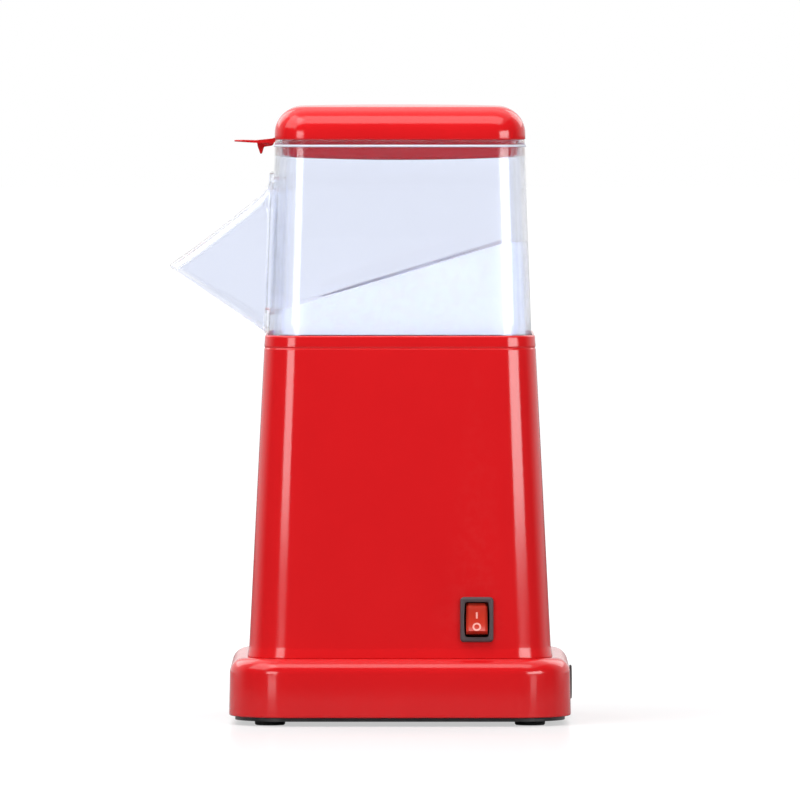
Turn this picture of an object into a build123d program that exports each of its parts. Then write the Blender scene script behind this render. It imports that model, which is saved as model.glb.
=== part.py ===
from build123d import *
from math import atan2, cos, degrees, radians, sin
import os

# A hot-air popcorn maker. +Z is up, the spout points along -X and the switch is on the -Y side.
# The origin is on the resting plane, under the centre of the whole outline. All sizes are in mm.

os.makedirs("parts", exist_ok=True)

# ---------------------------------------------------------------- driving dimensions
# The body axis runs up through the fan, the heater and the popping chamber. Horizontal places
# below are measured from it, and axis_x is where it stands in the part's own frame.
hood_reach = 106.7
gland_reach = 80.0
axis_x = (hood_reach - gland_reach) / 2

wall = 2.5

# Plinth: rounded rectangles as (length along X, width along Y, corner radius).
plinth_foot = (158.0, 150.0, 27.0)
plinth_crown = (157.0, 149.0, 26.5)
plinth_low = 4.0
ledge_z = 31.0
plinth_edge = 7.0
ledge_opening = (132.0, 124.0, 30.0)

# Bottom cover and feet.
cover_low = 2.2
cover_top = 5.0
cover_outline = (152.4, 144.4, 24.2)
foot_radius = 7.0
foot_places = (60.0, 56.0)
cover_screw_places = (71.5, 30.0)
cover_screw_top = 18.0
cover_boss_radius = 3.5
foot_stud_radius = 2.5
intake_slot = (64.0, 3.2)
intake_pitch = 7.0
intake_count = 9

# Body shell.
shell_foot = (140.0, 132.0, 20.0)
shell_crown = (125.0, 117.0, 17.0)
shell_top = 179.0
shelf_low = 170.0
shelf_top = 174.0
shelf_opening = (108.0, 100.0, 30.0)
rim_rebate = (122.3, 114.3, 16.8)
shell_post_places = (59.8, 55.8)
shelf_boss_places = (48.0, 44.0)
shelf_foot = (123.5, 115.5, 15.6)
shelf_crown = (123.0, 115.0, 15.4)
shell_post_radius = 4.0
shell_post_height = 16.0
shelf_boss_radius = 3.5
shelf_boss_height = 14.0
boss_hole_low = shelf_low - shelf_boss_height + 2.0
shell_screw_end = ledge_z + shell_post_height - 4.0

# Clear housing and the mouth in its front wall.
housing_foot = (121.8, 113.8, 16.5)
housing_crown = (115.5, 107.5, 16.0)
housing_top = 270.0
mouth_width = 72.8
mouth_low = 188.8
mouth_top = 252.9

# Popcorn ramp inside the clear housing.
ramp_gap = 0.4
ramp_wall = 1.8
ramp_front = -54.4
ramp_front_z = 191.3
ramp_crest = 49.1
ramp_crest_z = 222.6
ramp_skirt_z = 180.0
throat_radius = 38.0

# Spout hood.
hood_tip = (-hood_reach, 211.7)
hood_shoulder = (-68.0, 241.5)
hood_root_z = 249.5
hood_low_z = 180.3
hood_top_z = 254.5
hood_half_width = 39.0
hood_wall = 2.2
flange_thickness = 2.0
seat_gap = 0.2

# Lid.
lid_outline = (116.0, 108.0, 16.2)
lid_height = 16.0
lid_edge = 13.0
lid_wall = 2.4
plug_low = 260.6
tab_width = 22.0

# Popping chamber, heater and fan, all round about the body axis.
chamber_radius = 38.0
chamber_low = 112.0
chamber_top = 188.0
chamber_sheet = 1.2
chamber_flange = 46.0
heater_radius = 46.0
heater_sheet = 0.6
heater_low = 78.0
mica_top = 110.0
duct_low = 46.0
duct_top = 100.0
duct_bore = 44.0
duct_post_reach = 52.0
impeller_radius = 40.0
impeller_low = 55.0
impeller_top = 73.0

# Motor.
motor_radius = 18.0
motor_low = 14.0
can_low = 18.0
motor_top = 50.0
shaft_radius = 1.5
bearing_bore = 1.55
bearing_radius = 4.0

# Screws: shank, pilot hole and clearance hole radii.
screw_shank = 1.25
pilot_hole = 1.3
clear_hole = 1.6
screw_head = 2.75
head_slot = (3.6, 0.7, 1.4)
head_recess = 1.2
recess_radius = 3.1

# Rocker switch, on the -Y wall of the body shell.
switch_x = 35.4
switch_z = 49.0
bezel_size = (15.0, 21.0)
bezel_proud = 2.0
cutout_size = (13.2, 19.2)
socket_size = (11.4, 16.0)
rocker_width = 9.9
rocker_tilt = 10.0
pivot_depth = 3.0
pivot_radius = 1.2

# Cord gland, in the plinth's rear wall.
gland_z = 17.0
gland_bore = 3.6
gland_neck = 6.0
gland_lip = 8.0
gland_inner_end = 68.0

# ---------------------------------------------------------------- derived slopes and planes
shell_lean = degrees(atan2((shell_foot[1] - shell_crown[1]) / 2, shell_top - ledge_z))
housing_slope = (housing_foot[0] - housing_crown[0]) / 2 / (housing_top - shelf_top)
ramp_slope = (ramp_crest_z - ramp_front_z) / (ramp_crest - ramp_front)


def level(z):
    """Horizontal plane at height z, centred on the body axis."""
    return Plane(origin=(axis_x, 0, z))


def profile_plane(y=0):
    """Upright plane seen from the switch side: local x runs to the rear, local y runs up."""
    return Plane(origin=(axis_x, y, 0), x_dir=(1, 0, 0), z_dir=(0, -1, 0))


def lengthwise_plane(x):
    """Upright plane across the body at x: local x runs along +Y, local y runs up, normal +X."""
    return Plane(origin=(axis_x + x, 0, 0), x_dir=(0, 1, 0), z_dir=(1, 0, 0))


def shell_half_width(z):
    """Half width of the body shell's outside, along Y, at height z."""
    return shell_foot[1] / 2 - (z - ledge_z) * (shell_foot[1] - shell_crown[1]) / 2 / (shell_top - ledge_z)


def housing_front(z):
    """X of the clear housing's front face, from the body axis, at height z."""
    return -housing_crown[0] / 2 - (housing_top - z) * housing_slope


def switch_plane(depth=0.0, turn=0.0):
    """Plane of the switch panel, moved inward by depth and turned about the panel's level line."""
    lean = radians(shell_lean)
    outward = Vector(0, -cos(lean), sin(lean))
    panel = Vector(axis_x + switch_x, -shell_half_width(switch_z), switch_z)
    tilted = Vector(0, -cos(lean + radians(turn)), sin(lean + radians(turn)))
    return Plane(origin=panel - outward * depth, x_dir=(1, 0, 0), z_dir=tilted)


def inset(outline, amount):
    """Rounded rectangle (length, width, radius) moved inward by amount all round."""
    return (outline[0] - 2 * amount, outline[1] - 2 * amount, outline[2] - amount)


def four_corners(place):
    """The four mirror places of one (x, y) place."""
    x, y = place
    return [(x, y), (-x, y), (-x, -y), (x, -y)]


def on_circle(reach, count, start=0.0):
    """Places evenly spaced on a circle about the body axis."""
    turns = [radians(start + 360.0 * i / count) for i in range(count)]
    return [(reach * cos(t), reach * sin(t)) for t in turns]


def tapered_block(z_low, z_high, low, high, mode=Mode.ADD):
    """Rounded block that narrows from one outline to another."""
    with BuildSketch(level(z_low)) as foot:
        RectangleRounded(low[0], low[1], low[2])
    with BuildSketch(level(z_high)) as crown:
        RectangleRounded(high[0], high[1], high[2])
    loft(sections=[foot.sketch, crown.sketch], ruled=True, mode=mode)


def rounded_plate(z_low, z_high, outline, mode=Mode.ADD):
    """Rounded plate or pocket with upright sides."""
    with BuildSketch(level(z_low)) as plan:
        RectangleRounded(outline[0], outline[1], outline[2])
    extrude(plan.sketch, amount=z_high - z_low, mode=mode)


def rods(places, z_low, z_high, radius, mode=Mode.ADD):
    """Upright rods or holes at the given places from the body axis."""
    centres = [(axis_x + x, y, (z_low + z_high) / 2) for x, y in places]
    with Locations(*centres):
        Cylinder(radius, z_high - z_low, mode=mode)


def cross_bar(points, half_width, mode=Mode.ADD):
    """Prism along Y from a closed outline of (x, z) points."""
    with BuildSketch(profile_plane()) as outline:
        with BuildLine():
            Polyline(*points, close=True)
        make_face()
    extrude(outline.sketch, amount=half_width, both=True, mode=mode)


centre = [(0.0, 0.0)]

# ---------------------------------------------------------------- base plinth
with BuildPart() as base_plinth:
    tapered_block(plinth_low, ledge_z, plinth_foot, plinth_crown)
    fillet(base_plinth.faces().sort_by(Axis.Z)[-1].edges(), plinth_edge)
    tapered_block(
        plinth_low,
        ledge_z - wall,
        inset(plinth_foot, wall),
        inset(plinth_crown, wall),
        Mode.SUBTRACT,
    )
    roof_edges = base_plinth.edges().filter_by_position(Axis.Z, ledge_z - wall - 0.1, ledge_z - wall + 0.1)
    fillet(roof_edges, plinth_edge - wall)
    rounded_plate(ledge_z - 2 * wall, ledge_z + 1, ledge_opening, Mode.SUBTRACT)
    rods(four_corners(cover_screw_places), cover_top, ledge_z - wall / 2, cover_boss_radius)
    rods(four_corners(cover_screw_places), cover_top, ledge_z - 2 * wall, pilot_hole, Mode.SUBTRACT)
    rods(four_corners(shell_post_places), ledge_z - 2 * wall, ledge_z + 1, clear_hole, Mode.SUBTRACT)
    with BuildSketch(lengthwise_plane(plinth_foot[0] / 2 - 2 * wall)) as gland_hole:
        with Locations((0, gland_z)):
            Circle(gland_neck + 0.1)
    extrude(amount=3 * wall, mode=Mode.SUBTRACT)
base_plinth.part.label = "base_plinth"
export_step(base_plinth.part, "parts/base_plinth.step")

# ---------------------------------------------------------------- bottom cover
board_centre = (-50.0, 32.0)
board_size = (30.0, 20.0)
board_low = 10.0
board_thickness = 1.6
board_posts = [(-61.0, 26.0), (-39.0, 38.0)]
board_post_radius = 2.5
duct_post_radius = 4.0
duct_screw_depth = 16.0
duct_posts = on_circle(duct_post_reach, 4)

with BuildPart() as bottom_cover:
    rounded_plate(cover_low, cover_top, cover_outline)
    with BuildSketch(level(cover_low)) as intake_slots:
        with GridLocations(0, intake_pitch, 1, intake_count):
            SlotOverall(intake_slot[0], intake_slot[1])
    extrude(amount=cover_top - cover_low, mode=Mode.SUBTRACT)
    rods(duct_posts, cover_top - 0.5, duct_low, duct_post_radius)
    rods(duct_posts, duct_low - duct_screw_depth, duct_low, pilot_hole, Mode.SUBTRACT)
    rods(board_posts, cover_top - 0.5, board_low, board_post_radius)
    rods(four_corners(foot_places), cover_low, cover_top, foot_stud_radius, Mode.SUBTRACT)
    rods(four_corners(cover_screw_places), cover_low, cover_top, clear_hole, Mode.SUBTRACT)
    rods(four_corners(cover_screw_places), cover_low, cover_low + head_recess, recess_radius, Mode.SUBTRACT)
bottom_cover.part.label = "bottom_cover"
export_step(bottom_cover.part, "parts/bottom_cover.step")

# ---------------------------------------------------------------- rubber feet
with BuildPart() as rubber_feet:
    rods(four_corners(foot_places), 0.0, cover_low, foot_radius)
    chamfer(rubber_feet.edges().group_by(Axis.Z)[0], 0.5)
    rods(four_corners(foot_places), cover_low, cover_top + 1.0, foot_stud_radius - 0.05)
rubber_feet.part.label = "rubber_feet"
export_step(rubber_feet.part, "parts/rubber_feet.step")


def screws_up(places, head_low, head_high, shank_top):
    """Screws put in from below, with the head under the shank."""
    rods(places, head_low, head_high, screw_head)
    rods(places, head_high, shank_top, screw_shank)
    with Locations(*[(axis_x + x, y, head_low) for x, y in places]):
        Box(head_slot[0], head_slot[1], head_slot[2], mode=Mode.SUBTRACT)
        Box(head_slot[1], head_slot[0], head_slot[2], mode=Mode.SUBTRACT)


def screws_down(places, shank_low, head_low, head_high):
    """Screws put in from above, with the head over the shank."""
    rods(places, shank_low, head_low, screw_shank)
    rods(places, head_low, head_high, screw_head)
    with Locations(*[(axis_x + x, y, head_high) for x, y in places]):
        Box(head_slot[0], head_slot[1], head_slot[2], mode=Mode.SUBTRACT)
        Box(head_slot[1], head_slot[0], head_slot[2], mode=Mode.SUBTRACT)


# ---------------------------------------------------------------- cover screws
with BuildPart() as cover_screws:
    screws_up(four_corners(cover_screw_places), cover_low - 0.6, cover_low + head_recess, cover_screw_top)
cover_screws.part.label = "cover_screws"
export_step(cover_screws.part, "parts/cover_screws.step")

# ---------------------------------------------------------------- body shell
with BuildPart() as body_shell:
    tapered_block(ledge_z, shell_top, shell_foot, shell_crown)
    fillet(body_shell.faces().sort_by(Axis.Z)[-1].edges(), 1.0)
    tapered_block(ledge_z, shell_top, inset(shell_foot, wall), inset(shell_crown, wall), Mode.SUBTRACT)
    tapered_block(shelf_low, shelf_top, shelf_foot, shelf_crown)
    rounded_plate(shelf_low, shelf_top, shelf_opening, Mode.SUBTRACT)
    rounded_plate(shelf_top, shell_top, rim_rebate, Mode.SUBTRACT)
    rods(four_corners(shell_post_places), ledge_z, ledge_z + shell_post_height, shell_post_radius)
    rods(four_corners(shell_post_places), ledge_z, shell_screw_end + 2.0, pilot_hole, Mode.SUBTRACT)
    rods(four_corners(shelf_boss_places), shelf_low - shelf_boss_height, shelf_top - 1.0, shelf_boss_radius)
    rods(four_corners(shelf_boss_places), boss_hole_low, shelf_top, pilot_hole, Mode.SUBTRACT)
    with BuildSketch(switch_plane(2 * wall)) as switch_cutout:
        Rectangle(cutout_size[0], cutout_size[1])
    extrude(amount=4 * wall, mode=Mode.SUBTRACT)
body_shell.part.label = "body_shell"
export_step(body_shell.part, "parts/body_shell.step")

# ---------------------------------------------------------------- body shell screws
with BuildPart() as shell_screws:
    screws_up(four_corners(shell_post_places), ledge_z - wall - 2.0, ledge_z - wall, shell_screw_end)
shell_screws.part.label = "shell_screws"
export_step(shell_screws.part, "parts/shell_screws.step")

# ---------------------------------------------------------------- cord gland
lip_face = plinth_foot[0] / 2 - 0.05
inner_lip_face = plinth_foot[0] / 2 - wall - 0.6
with BuildPart() as cord_gland:
    with BuildSketch(profile_plane()) as gland_profile:
        with BuildLine():
            Polyline(
                (gland_inner_end, gland_z + gland_bore),
                (gland_reach, gland_z + gland_bore),
                (gland_reach, gland_z + gland_lip - 0.5),
                (gland_reach - 0.5, gland_z + gland_lip),
                (lip_face, gland_z + gland_lip),
                (lip_face, gland_z + gland_neck),
                (inner_lip_face, gland_z + gland_neck),
                (inner_lip_face, gland_z + gland_lip),
                (74.0, gland_z + gland_lip),
                (73.0, gland_z + gland_neck - 0.5),
                (gland_inner_end, gland_z + gland_neck - 0.8),
                close=True,
            )
        make_face()
    revolve(axis=Axis((axis_x, 0, gland_z), (1, 0, 0)))
cord_gland.part.label = "cord_gland"
export_step(cord_gland.part, "parts/cord_gland.step")

# ---------------------------------------------------------------- switch housing with its bezel
socket_depth = 12.5
housing_back = 13.7
terminal_places = [(0, -6.0), (0, 0), (0, 6.0)]
terminal_section = (4.8, 0.8)
terminal_end = 24.0
axle_reach = 6.15
axle_plane = Plane(origin=switch_plane(pivot_depth).origin, x_dir=(0, 1, 0), z_dir=(1, 0, 0))
with BuildPart() as switch_housing:
    with BuildSketch(switch_plane(-0.05)) as bezel_outline:
        RectangleRounded(bezel_size[0], bezel_size[1], 1.2)
    extrude(amount=bezel_proud)
    fillet(switch_housing.faces().sort_by(Axis.Y)[0].edges(), 0.8)
    with BuildSketch(switch_plane(housing_back)) as case_outline:
        Rectangle(cutout_size[0] - 0.2, cutout_size[1] - 0.2)
    extrude(amount=housing_back + 0.5)
    with BuildSketch(switch_plane(socket_depth)) as socket_outline:
        Rectangle(socket_size[0], socket_size[1])
    extrude(amount=socket_depth + 2 * bezel_proud, mode=Mode.SUBTRACT)
    with BuildSketch(switch_plane(housing_back)) as terminal_slots:
        with Locations(*terminal_places):
            Rectangle(terminal_section[0] + 0.1, terminal_section[1] + 0.1)
    extrude(amount=2.0, mode=Mode.SUBTRACT)
    with BuildSketch(axle_plane) as axle_sockets:
        Circle(pivot_radius + 0.05)
    extrude(amount=axle_reach + 0.1, both=True, mode=Mode.SUBTRACT)
switch_housing.part.label = "switch_housing"
export_step(switch_housing.part, "parts/switch_housing.step")

# ---------------------------------------------------------------- switch rocker, with its O end pressed
rocker_end = 7.3
rocker_back = -2.0
crest_reach = 5.0
crest_height = 5.6
saddle_height = 4.9
rocker_out = switch_plane(pivot_depth, rocker_tilt).z_dir
rocker_side = Plane(origin=axle_plane.origin, x_dir=rocker_out, z_dir=(-1, 0, 0))
with BuildPart() as switch_rocker:
    with BuildSketch(rocker_side) as rocker_profile:
        with BuildLine():
            Polyline(
                (crest_height, -crest_reach),
                (pivot_depth, -rocker_end),
                (rocker_back, -rocker_end),
                (rocker_back, rocker_end),
                (pivot_depth, rocker_end),
                (crest_height, crest_reach),
            )
            ThreePointArc((crest_height, crest_reach), (saddle_height, 0), (crest_height, -crest_reach))
        make_face()
    extrude(amount=rocker_width / 2, both=True)
    with BuildSketch(axle_plane) as axle:
        Circle(pivot_radius)
    extrude(amount=axle_reach, both=True)
switch_rocker.part.label = "switch_rocker"
export_step(switch_rocker.part, "parts/switch_rocker.step")

# ---------------------------------------------------------------- switch terminals
with BuildPart() as switch_terminals:
    with BuildSketch(switch_plane(terminal_end)) as blades:
        with Locations(*terminal_places):
            Rectangle(terminal_section[0], terminal_section[1])
    extrude(amount=terminal_end - socket_depth + 0.4)
switch_terminals.part.label = "switch_terminals"
export_step(switch_terminals.part, "parts/switch_terminals.step")

# ---------------------------------------------------------------- neon lamp inside the switch
lamp_radius = 1.6
lamp_centre = switch_plane(10.0).origin + Vector(0, 0, 3.0)
with BuildPart() as neon_lamp:
    with BuildSketch(Plane(origin=lamp_centre, x_dir=(0, 1, 0), z_dir=(1, 0, 0))) as lamp_round:
        Circle(lamp_radius)
    extrude(amount=4.5, both=True)
    fillet(neon_lamp.edges(), 0.8)
neon_lamp.part.label = "neon_lamp"
export_step(neon_lamp.part, "parts/neon_lamp.step")

# ---------------------------------------------------------------- clear housing
bead_low = housing_top - 3.5
bead_high = housing_top - 2.4
bead_outline = (116.4, 108.4, 16.4)
with BuildPart() as clear_housing:
    tapered_block(shelf_top, housing_top, housing_foot, housing_crown)
    rounded_plate(bead_low, bead_high, bead_outline)
    tapered_block(
        shelf_top,
        housing_top,
        inset(housing_foot, wall),
        inset(housing_crown, wall),
        Mode.SUBTRACT,
    )
    with BuildSketch(lengthwise_plane(-70.0)) as mouth:
        with Locations((0, (mouth_low + mouth_top) / 2)):
            RectangleRounded(mouth_width, mouth_top - mouth_low, 4.4)
    extrude(amount=25.0, mode=Mode.SUBTRACT)
clear_housing.part.label = "clear_housing"
export_step(clear_housing.part, "parts/clear_housing.step")


# ---------------------------------------------------------------- popcorn ramp
def inside_housing(z, gap):
    """Outline inside the clear housing's wall at height z, with a gap."""
    widening = (housing_top - z) * housing_slope
    return inset(housing_crown, wall + gap - widening)


def under_ramp(drop):
    """Outline of the space below the ramp's upper face, lowered by drop and moved in from the front."""
    level_end = 70.0
    return [
        (ramp_front + drop, 170.0),
        (ramp_front + drop, ramp_front_z - drop + ramp_slope * drop),
        (ramp_crest, ramp_crest_z - drop),
        (level_end, ramp_crest_z - drop),
        (level_end, 170.0),
    ]


ramp_high = ramp_crest_z + 6.0
with BuildPart() as ramp_hollow:
    tapered_block(
        ramp_skirt_z,
        ramp_high,
        inside_housing(ramp_skirt_z, ramp_gap + ramp_wall),
        inside_housing(ramp_high, ramp_gap + ramp_wall),
    )
    cross_bar(under_ramp(ramp_wall), 60.0, Mode.INTERSECT)

with BuildPart() as ramp_throat:
    rods(centre, chamber_top + 0.6, ramp_high, throat_radius + ramp_wall)
    cross_bar(under_ramp(0.0), 60.0, Mode.INTERSECT)

with BuildPart() as popcorn_ramp:
    tapered_block(
        ramp_skirt_z,
        ramp_high,
        inside_housing(ramp_skirt_z, ramp_gap),
        inside_housing(ramp_high, ramp_gap),
    )
    cross_bar(under_ramp(0.0), 60.0, Mode.INTERSECT)
    add(ramp_hollow.part, mode=Mode.SUBTRACT)
    add(ramp_throat.part)
    rods(centre, ramp_skirt_z, ramp_high, throat_radius, Mode.SUBTRACT)
popcorn_ramp.part.label = "popcorn_ramp"
export_step(popcorn_ramp.part, "parts/popcorn_ramp.step")

# ---------------------------------------------------------------- spout hood
hood_angle = atan2(hood_shoulder[1] - hood_tip[1], hood_shoulder[0] - hood_tip[0])
roof_drop = (hood_wall * sin(hood_angle), -hood_wall * cos(hood_angle))
flange_lean = degrees(atan2(housing_slope, 1.0))
collar_top = mouth_top - 0.4
collar_low = mouth_low + 0.4
collar_wall = 1.8


def flange_face(z, proud):
    """Point (x, z) at a distance in front of the clear housing's front face."""
    return (housing_front(z) - proud, z)


def front_plane(proud):
    """Plane parallel to the clear housing's front, in front of it by proud; normal points outward."""
    lean = radians(flange_lean)
    x, z = flange_face(0.0, proud)
    return Plane(origin=(axis_x + x, 0, z), x_dir=(0, -1, 0), z_dir=(-cos(lean), 0, sin(lean)))


def front_window(proud, low, high, width, radius):
    """Rounded rectangle on the plane in front of the clear housing."""
    with BuildSketch(front_plane(proud)) as window:
        with Locations((0, (low + high) / 2)):
            RectangleRounded(width, high - low, radius)
    return window.sketch


collar_reach = 6.0
collar_width = mouth_width - 0.8
roof_side_radius = 6.0
inner_reach = 12.0
inner_tip = (
    hood_tip[0] + roof_drop[0] - inner_reach * cos(hood_angle),
    hood_tip[1] + roof_drop[1] - inner_reach * sin(hood_angle),
)
inner_shoulder = (hood_shoulder[0] + roof_drop[0], hood_shoulder[1] + roof_drop[1])


def roof_sides(hood, half_width):
    """The edges that run down the roof at its two sides, half_width from the middle."""
    lengthways = hood.edges().filter_by(Axis.Y, reverse=True)
    above = lengthways.filter_by(lambda edge: edge.center().Z > hood_tip[1] + 5.0)
    return above.filter_by(lambda edge: abs(abs(edge.center().Y) - half_width) < 0.01)


with BuildPart() as hood_hollow:
    cross_bar(
        [
            inner_tip,
            inner_shoulder,
            flange_face(hood_root_z - 2 * hood_wall, flange_thickness),
            flange_face(hood_low_z - 10.0, flange_thickness),
            (inner_tip[0], hood_low_z - 10.0),
        ],
        hood_half_width - hood_wall,
    )
    fillet(roof_sides(hood_hollow, hood_half_width - hood_wall), roof_side_radius - hood_wall)

with BuildPart() as spout_hood:
    cross_bar(
        [
            hood_tip,
            hood_shoulder,
            flange_face(hood_root_z, seat_gap),
            flange_face(hood_low_z, seat_gap),
            flange_face(hood_low_z, flange_thickness + seat_gap),
        ],
        hood_half_width,
    )
    fillet(roof_sides(spout_hood, hood_half_width), roof_side_radius)
    add(hood_hollow.part, mode=Mode.SUBTRACT)
    extrude(
        front_window(seat_gap, hood_low_z, hood_top_z, 2 * hood_half_width + 5.0, 6.0),
        amount=flange_thickness,
    )
    extrude(front_window(seat_gap, collar_low, collar_top, collar_width, 4.0), amount=-collar_reach)
    extrude(
        front_window(
            seat_gap,
            collar_low + collar_wall,
            collar_top - collar_wall,
            collar_width - 2 * collar_wall,
            4.0 - collar_wall,
        ),
        amount=-collar_reach - 2.0,
        mode=Mode.SUBTRACT,
    )
    extrude(
        front_window(
            seat_gap - 1.0,
            collar_low + collar_wall,
            hood_root_z - 3.5,
            collar_width - 2 * collar_wall,
            4.0 - collar_wall,
        ),
        amount=flange_thickness + 2.0,
        mode=Mode.SUBTRACT,
    )
spout_hood.part.label = "spout_hood"
export_step(spout_hood.part, "parts/spout_hood.step")

# ---------------------------------------------------------------- lid
lid_top = housing_top + lid_height
with BuildPart() as lid_hollow:
    rounded_plate(housing_top, lid_top - lid_wall, inset(lid_outline, lid_wall))
    fillet(lid_hollow.faces().sort_by(Axis.Z)[-1].edges(), lid_edge - lid_wall)

with BuildPart() as lid:
    rounded_plate(housing_top, lid_top, lid_outline)
    fillet(lid.faces().sort_by(Axis.Z)[-1].edges(), lid_edge)
    add(lid_hollow.part, mode=Mode.SUBTRACT)
    cross_bar(
        [
            (-77.2, housing_top - 0.2),
            (-77.0, housing_top - 1.2),
            (-58.3, housing_top - 1.8),
            (-58.3, housing_top),
            (-56.6, housing_top),
            (-56.6, housing_top + 1.6),
            (-60.0, housing_top + 0.5),
        ],
        tab_width / 2,
    )
    for rib_y in (-7.0, 7.0):
        with BuildSketch(profile_plane(rib_y)) as claw:
            with BuildLine():
                Polyline(
                    (-66.3, housing_top - 1.0),
                    (-64.6, housing_top - 7.1),
                    (-63.2, housing_top - 3.6),
                    (-59.2, housing_top - 3.2),
                    (-59.2, housing_top - 1.0),
                    close=True,
                )
            make_face()
        extrude(amount=0.9, both=True)
lid.part.label = "lid"
export_step(lid.part, "parts/lid.step")

# ---------------------------------------------------------------- lid plug
plug_crown = (109.6, 101.6, 13.2)
plug_foot = (108.4, 100.4, 12.6)
plug_sheet = 1.8
with BuildPart() as lid_plug:
    tapered_block(plug_low, housing_top + 1.6, plug_foot, plug_crown)
    rounded_plate(housing_top, housing_top + 1.6, (111.0, 103.0, 13.6))
    fillet(lid_plug.faces().sort_by(Axis.Z)[0].edges(), 2.0)
    tapered_block(
        plug_low + plug_sheet,
        housing_top + 1.6,
        inset(plug_foot, plug_sheet),
        inset(plug_crown, plug_sheet),
        Mode.SUBTRACT,
    )
lid_plug.part.label = "lid_plug"
export_step(lid_plug.part, "parts/lid_plug.step")

# ---------------------------------------------------------------- popping chamber
louvre_count = 14
louvre_size = (6.0, 2.0, 15.0)
louvre_slant = 30.0
chamber_curl = 6.0
with BuildPart() as chamber_hollow:
    rods(centre, chamber_low + chamber_sheet, chamber_top, chamber_radius - chamber_sheet)
    fillet(chamber_hollow.faces().sort_by(Axis.Z)[0].edges(), chamber_curl - chamber_sheet)

with BuildPart() as popping_chamber:
    rods(centre, chamber_low, chamber_top, chamber_radius)
    fillet(popping_chamber.faces().sort_by(Axis.Z)[0].edges(), chamber_curl)
    rods(centre, chamber_top - chamber_sheet, chamber_top, chamber_flange)
    add(chamber_hollow.part, mode=Mode.SUBTRACT)
    with Locations((axis_x, 0, chamber_low + louvre_size[2])):
        with PolarLocations(chamber_radius, louvre_count):
            Box(*louvre_size, rotation=(louvre_slant, 0, 0), mode=Mode.SUBTRACT)
popping_chamber.part.label = "popping_chamber"
export_step(popping_chamber.part, "parts/popping_chamber.step")

# ---------------------------------------------------------------- chamber collar
collar_plate_top = shelf_top + wall
ring_inner = heater_radius + 0.2
ring_outer = ring_inner + 2.4
ring_depth = 8.0
collar_plate = (115.2, 107.2, 14.0)
with BuildPart() as chamber_collar:
    rounded_plate(shelf_top, collar_plate_top, collar_plate)
    rods(centre, collar_plate_top, chamber_top - chamber_sheet, chamber_flange)
    rods(centre, shelf_top - ring_depth, shelf_top, ring_outer)
    rods(centre, shelf_top - ring_depth, shelf_top, ring_inner, Mode.SUBTRACT)
    rods(centre, shelf_top, chamber_top, chamber_radius + 3.0, Mode.SUBTRACT)
    rods(four_corners(shelf_boss_places), shelf_top, collar_plate_top, clear_hole, Mode.SUBTRACT)
chamber_collar.part.label = "chamber_collar"
export_step(chamber_collar.part, "parts/chamber_collar.step")

# ---------------------------------------------------------------- collar screws
with BuildPart() as collar_screws:
    screws_down(four_corners(shelf_boss_places), shelf_low - 8.0, collar_plate_top, collar_plate_top + 2.0)
collar_screws.part.label = "collar_screws"
export_step(collar_screws.part, "parts/collar_screws.step")

# ---------------------------------------------------------------- heater shell
thermostat_z = 124.0
pad_face = heater_radius + 1.5
with BuildPart() as heater_shell:
    rods(centre, heater_low, shelf_top, heater_radius)
    with BuildSketch(lengthwise_plane(heater_radius - 4.0)) as thermostat_pad:
        with Locations((0, thermostat_z)):
            Circle(9.0)
    extrude(amount=pad_face - heater_radius + 4.0)
    rods(centre, heater_low, shelf_top, heater_radius - heater_sheet, Mode.SUBTRACT)
heater_shell.part.label = "heater_shell"
export_step(heater_shell.part, "parts/heater_shell.step")

# ---------------------------------------------------------------- mica liner
with BuildPart() as mica_liner:
    rods(centre, heater_low, mica_top, heater_radius - heater_sheet - 0.1)
    rods(centre, heater_low, mica_top, heater_radius - heater_sheet - 0.6, Mode.SUBTRACT)
mica_liner.part.label = "mica_liner"
export_step(mica_liner.part, "parts/mica_liner.step")

# ---------------------------------------------------------------- heating coil
coil_radii = (40.0, 32.0, 24.0, 16.0)
coil_levels = (86.0, 96.0, 106.0)
coil_turns = [(r, z) for r in coil_radii for z in coil_levels]
coil_wire = 0.6
coil_notch = 0.75
mica_sheet = 1.0
mica_span = 88.6
with BuildPart() as heating_coil:
    for turn_radius, turn_z in coil_turns:
        with Locations((axis_x, 0, turn_z)):
            Torus(turn_radius, coil_wire)
heating_coil.part.label = "heating_coil"
export_step(heating_coil.part, "parts/heating_coil.step")

# ---------------------------------------------------------------- mica frame that holds the coil
with BuildPart() as mica_frame:
    with Locations((axis_x, 0, (heater_low + mica_top) / 2)):
        Box(mica_span, mica_sheet, mica_top - heater_low)
        Box(mica_sheet, mica_span, mica_top - heater_low)
    for turn_radius, turn_z in coil_turns:
        with Locations((axis_x, 0, turn_z)):
            Torus(turn_radius, coil_notch, mode=Mode.SUBTRACT)
mica_frame.part.label = "mica_frame"
export_step(mica_frame.part, "parts/mica_frame.step")

# ---------------------------------------------------------------- thermostat
with BuildPart() as thermostat:
    with BuildSketch(lengthwise_plane(pad_face)) as cup:
        with Locations((0, thermostat_z)):
            Circle(8.0)
            SlotOverall(26.0, 8.0)
    extrude(amount=1.0)
    with BuildSketch(lengthwise_plane(pad_face + 1.0)) as case_round:
        with Locations((0, thermostat_z)):
            Circle(7.5)
    extrude(amount=5.0)
    with BuildSketch(lengthwise_plane(pad_face + 6.0)) as tabs:
        with Locations((-4.0, thermostat_z), (4.0, thermostat_z)):
            Rectangle(0.8, 6.3)
    extrude(amount=6.0)
thermostat.part.label = "thermostat"
export_step(thermostat.part, "parts/thermostat.step")

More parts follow.
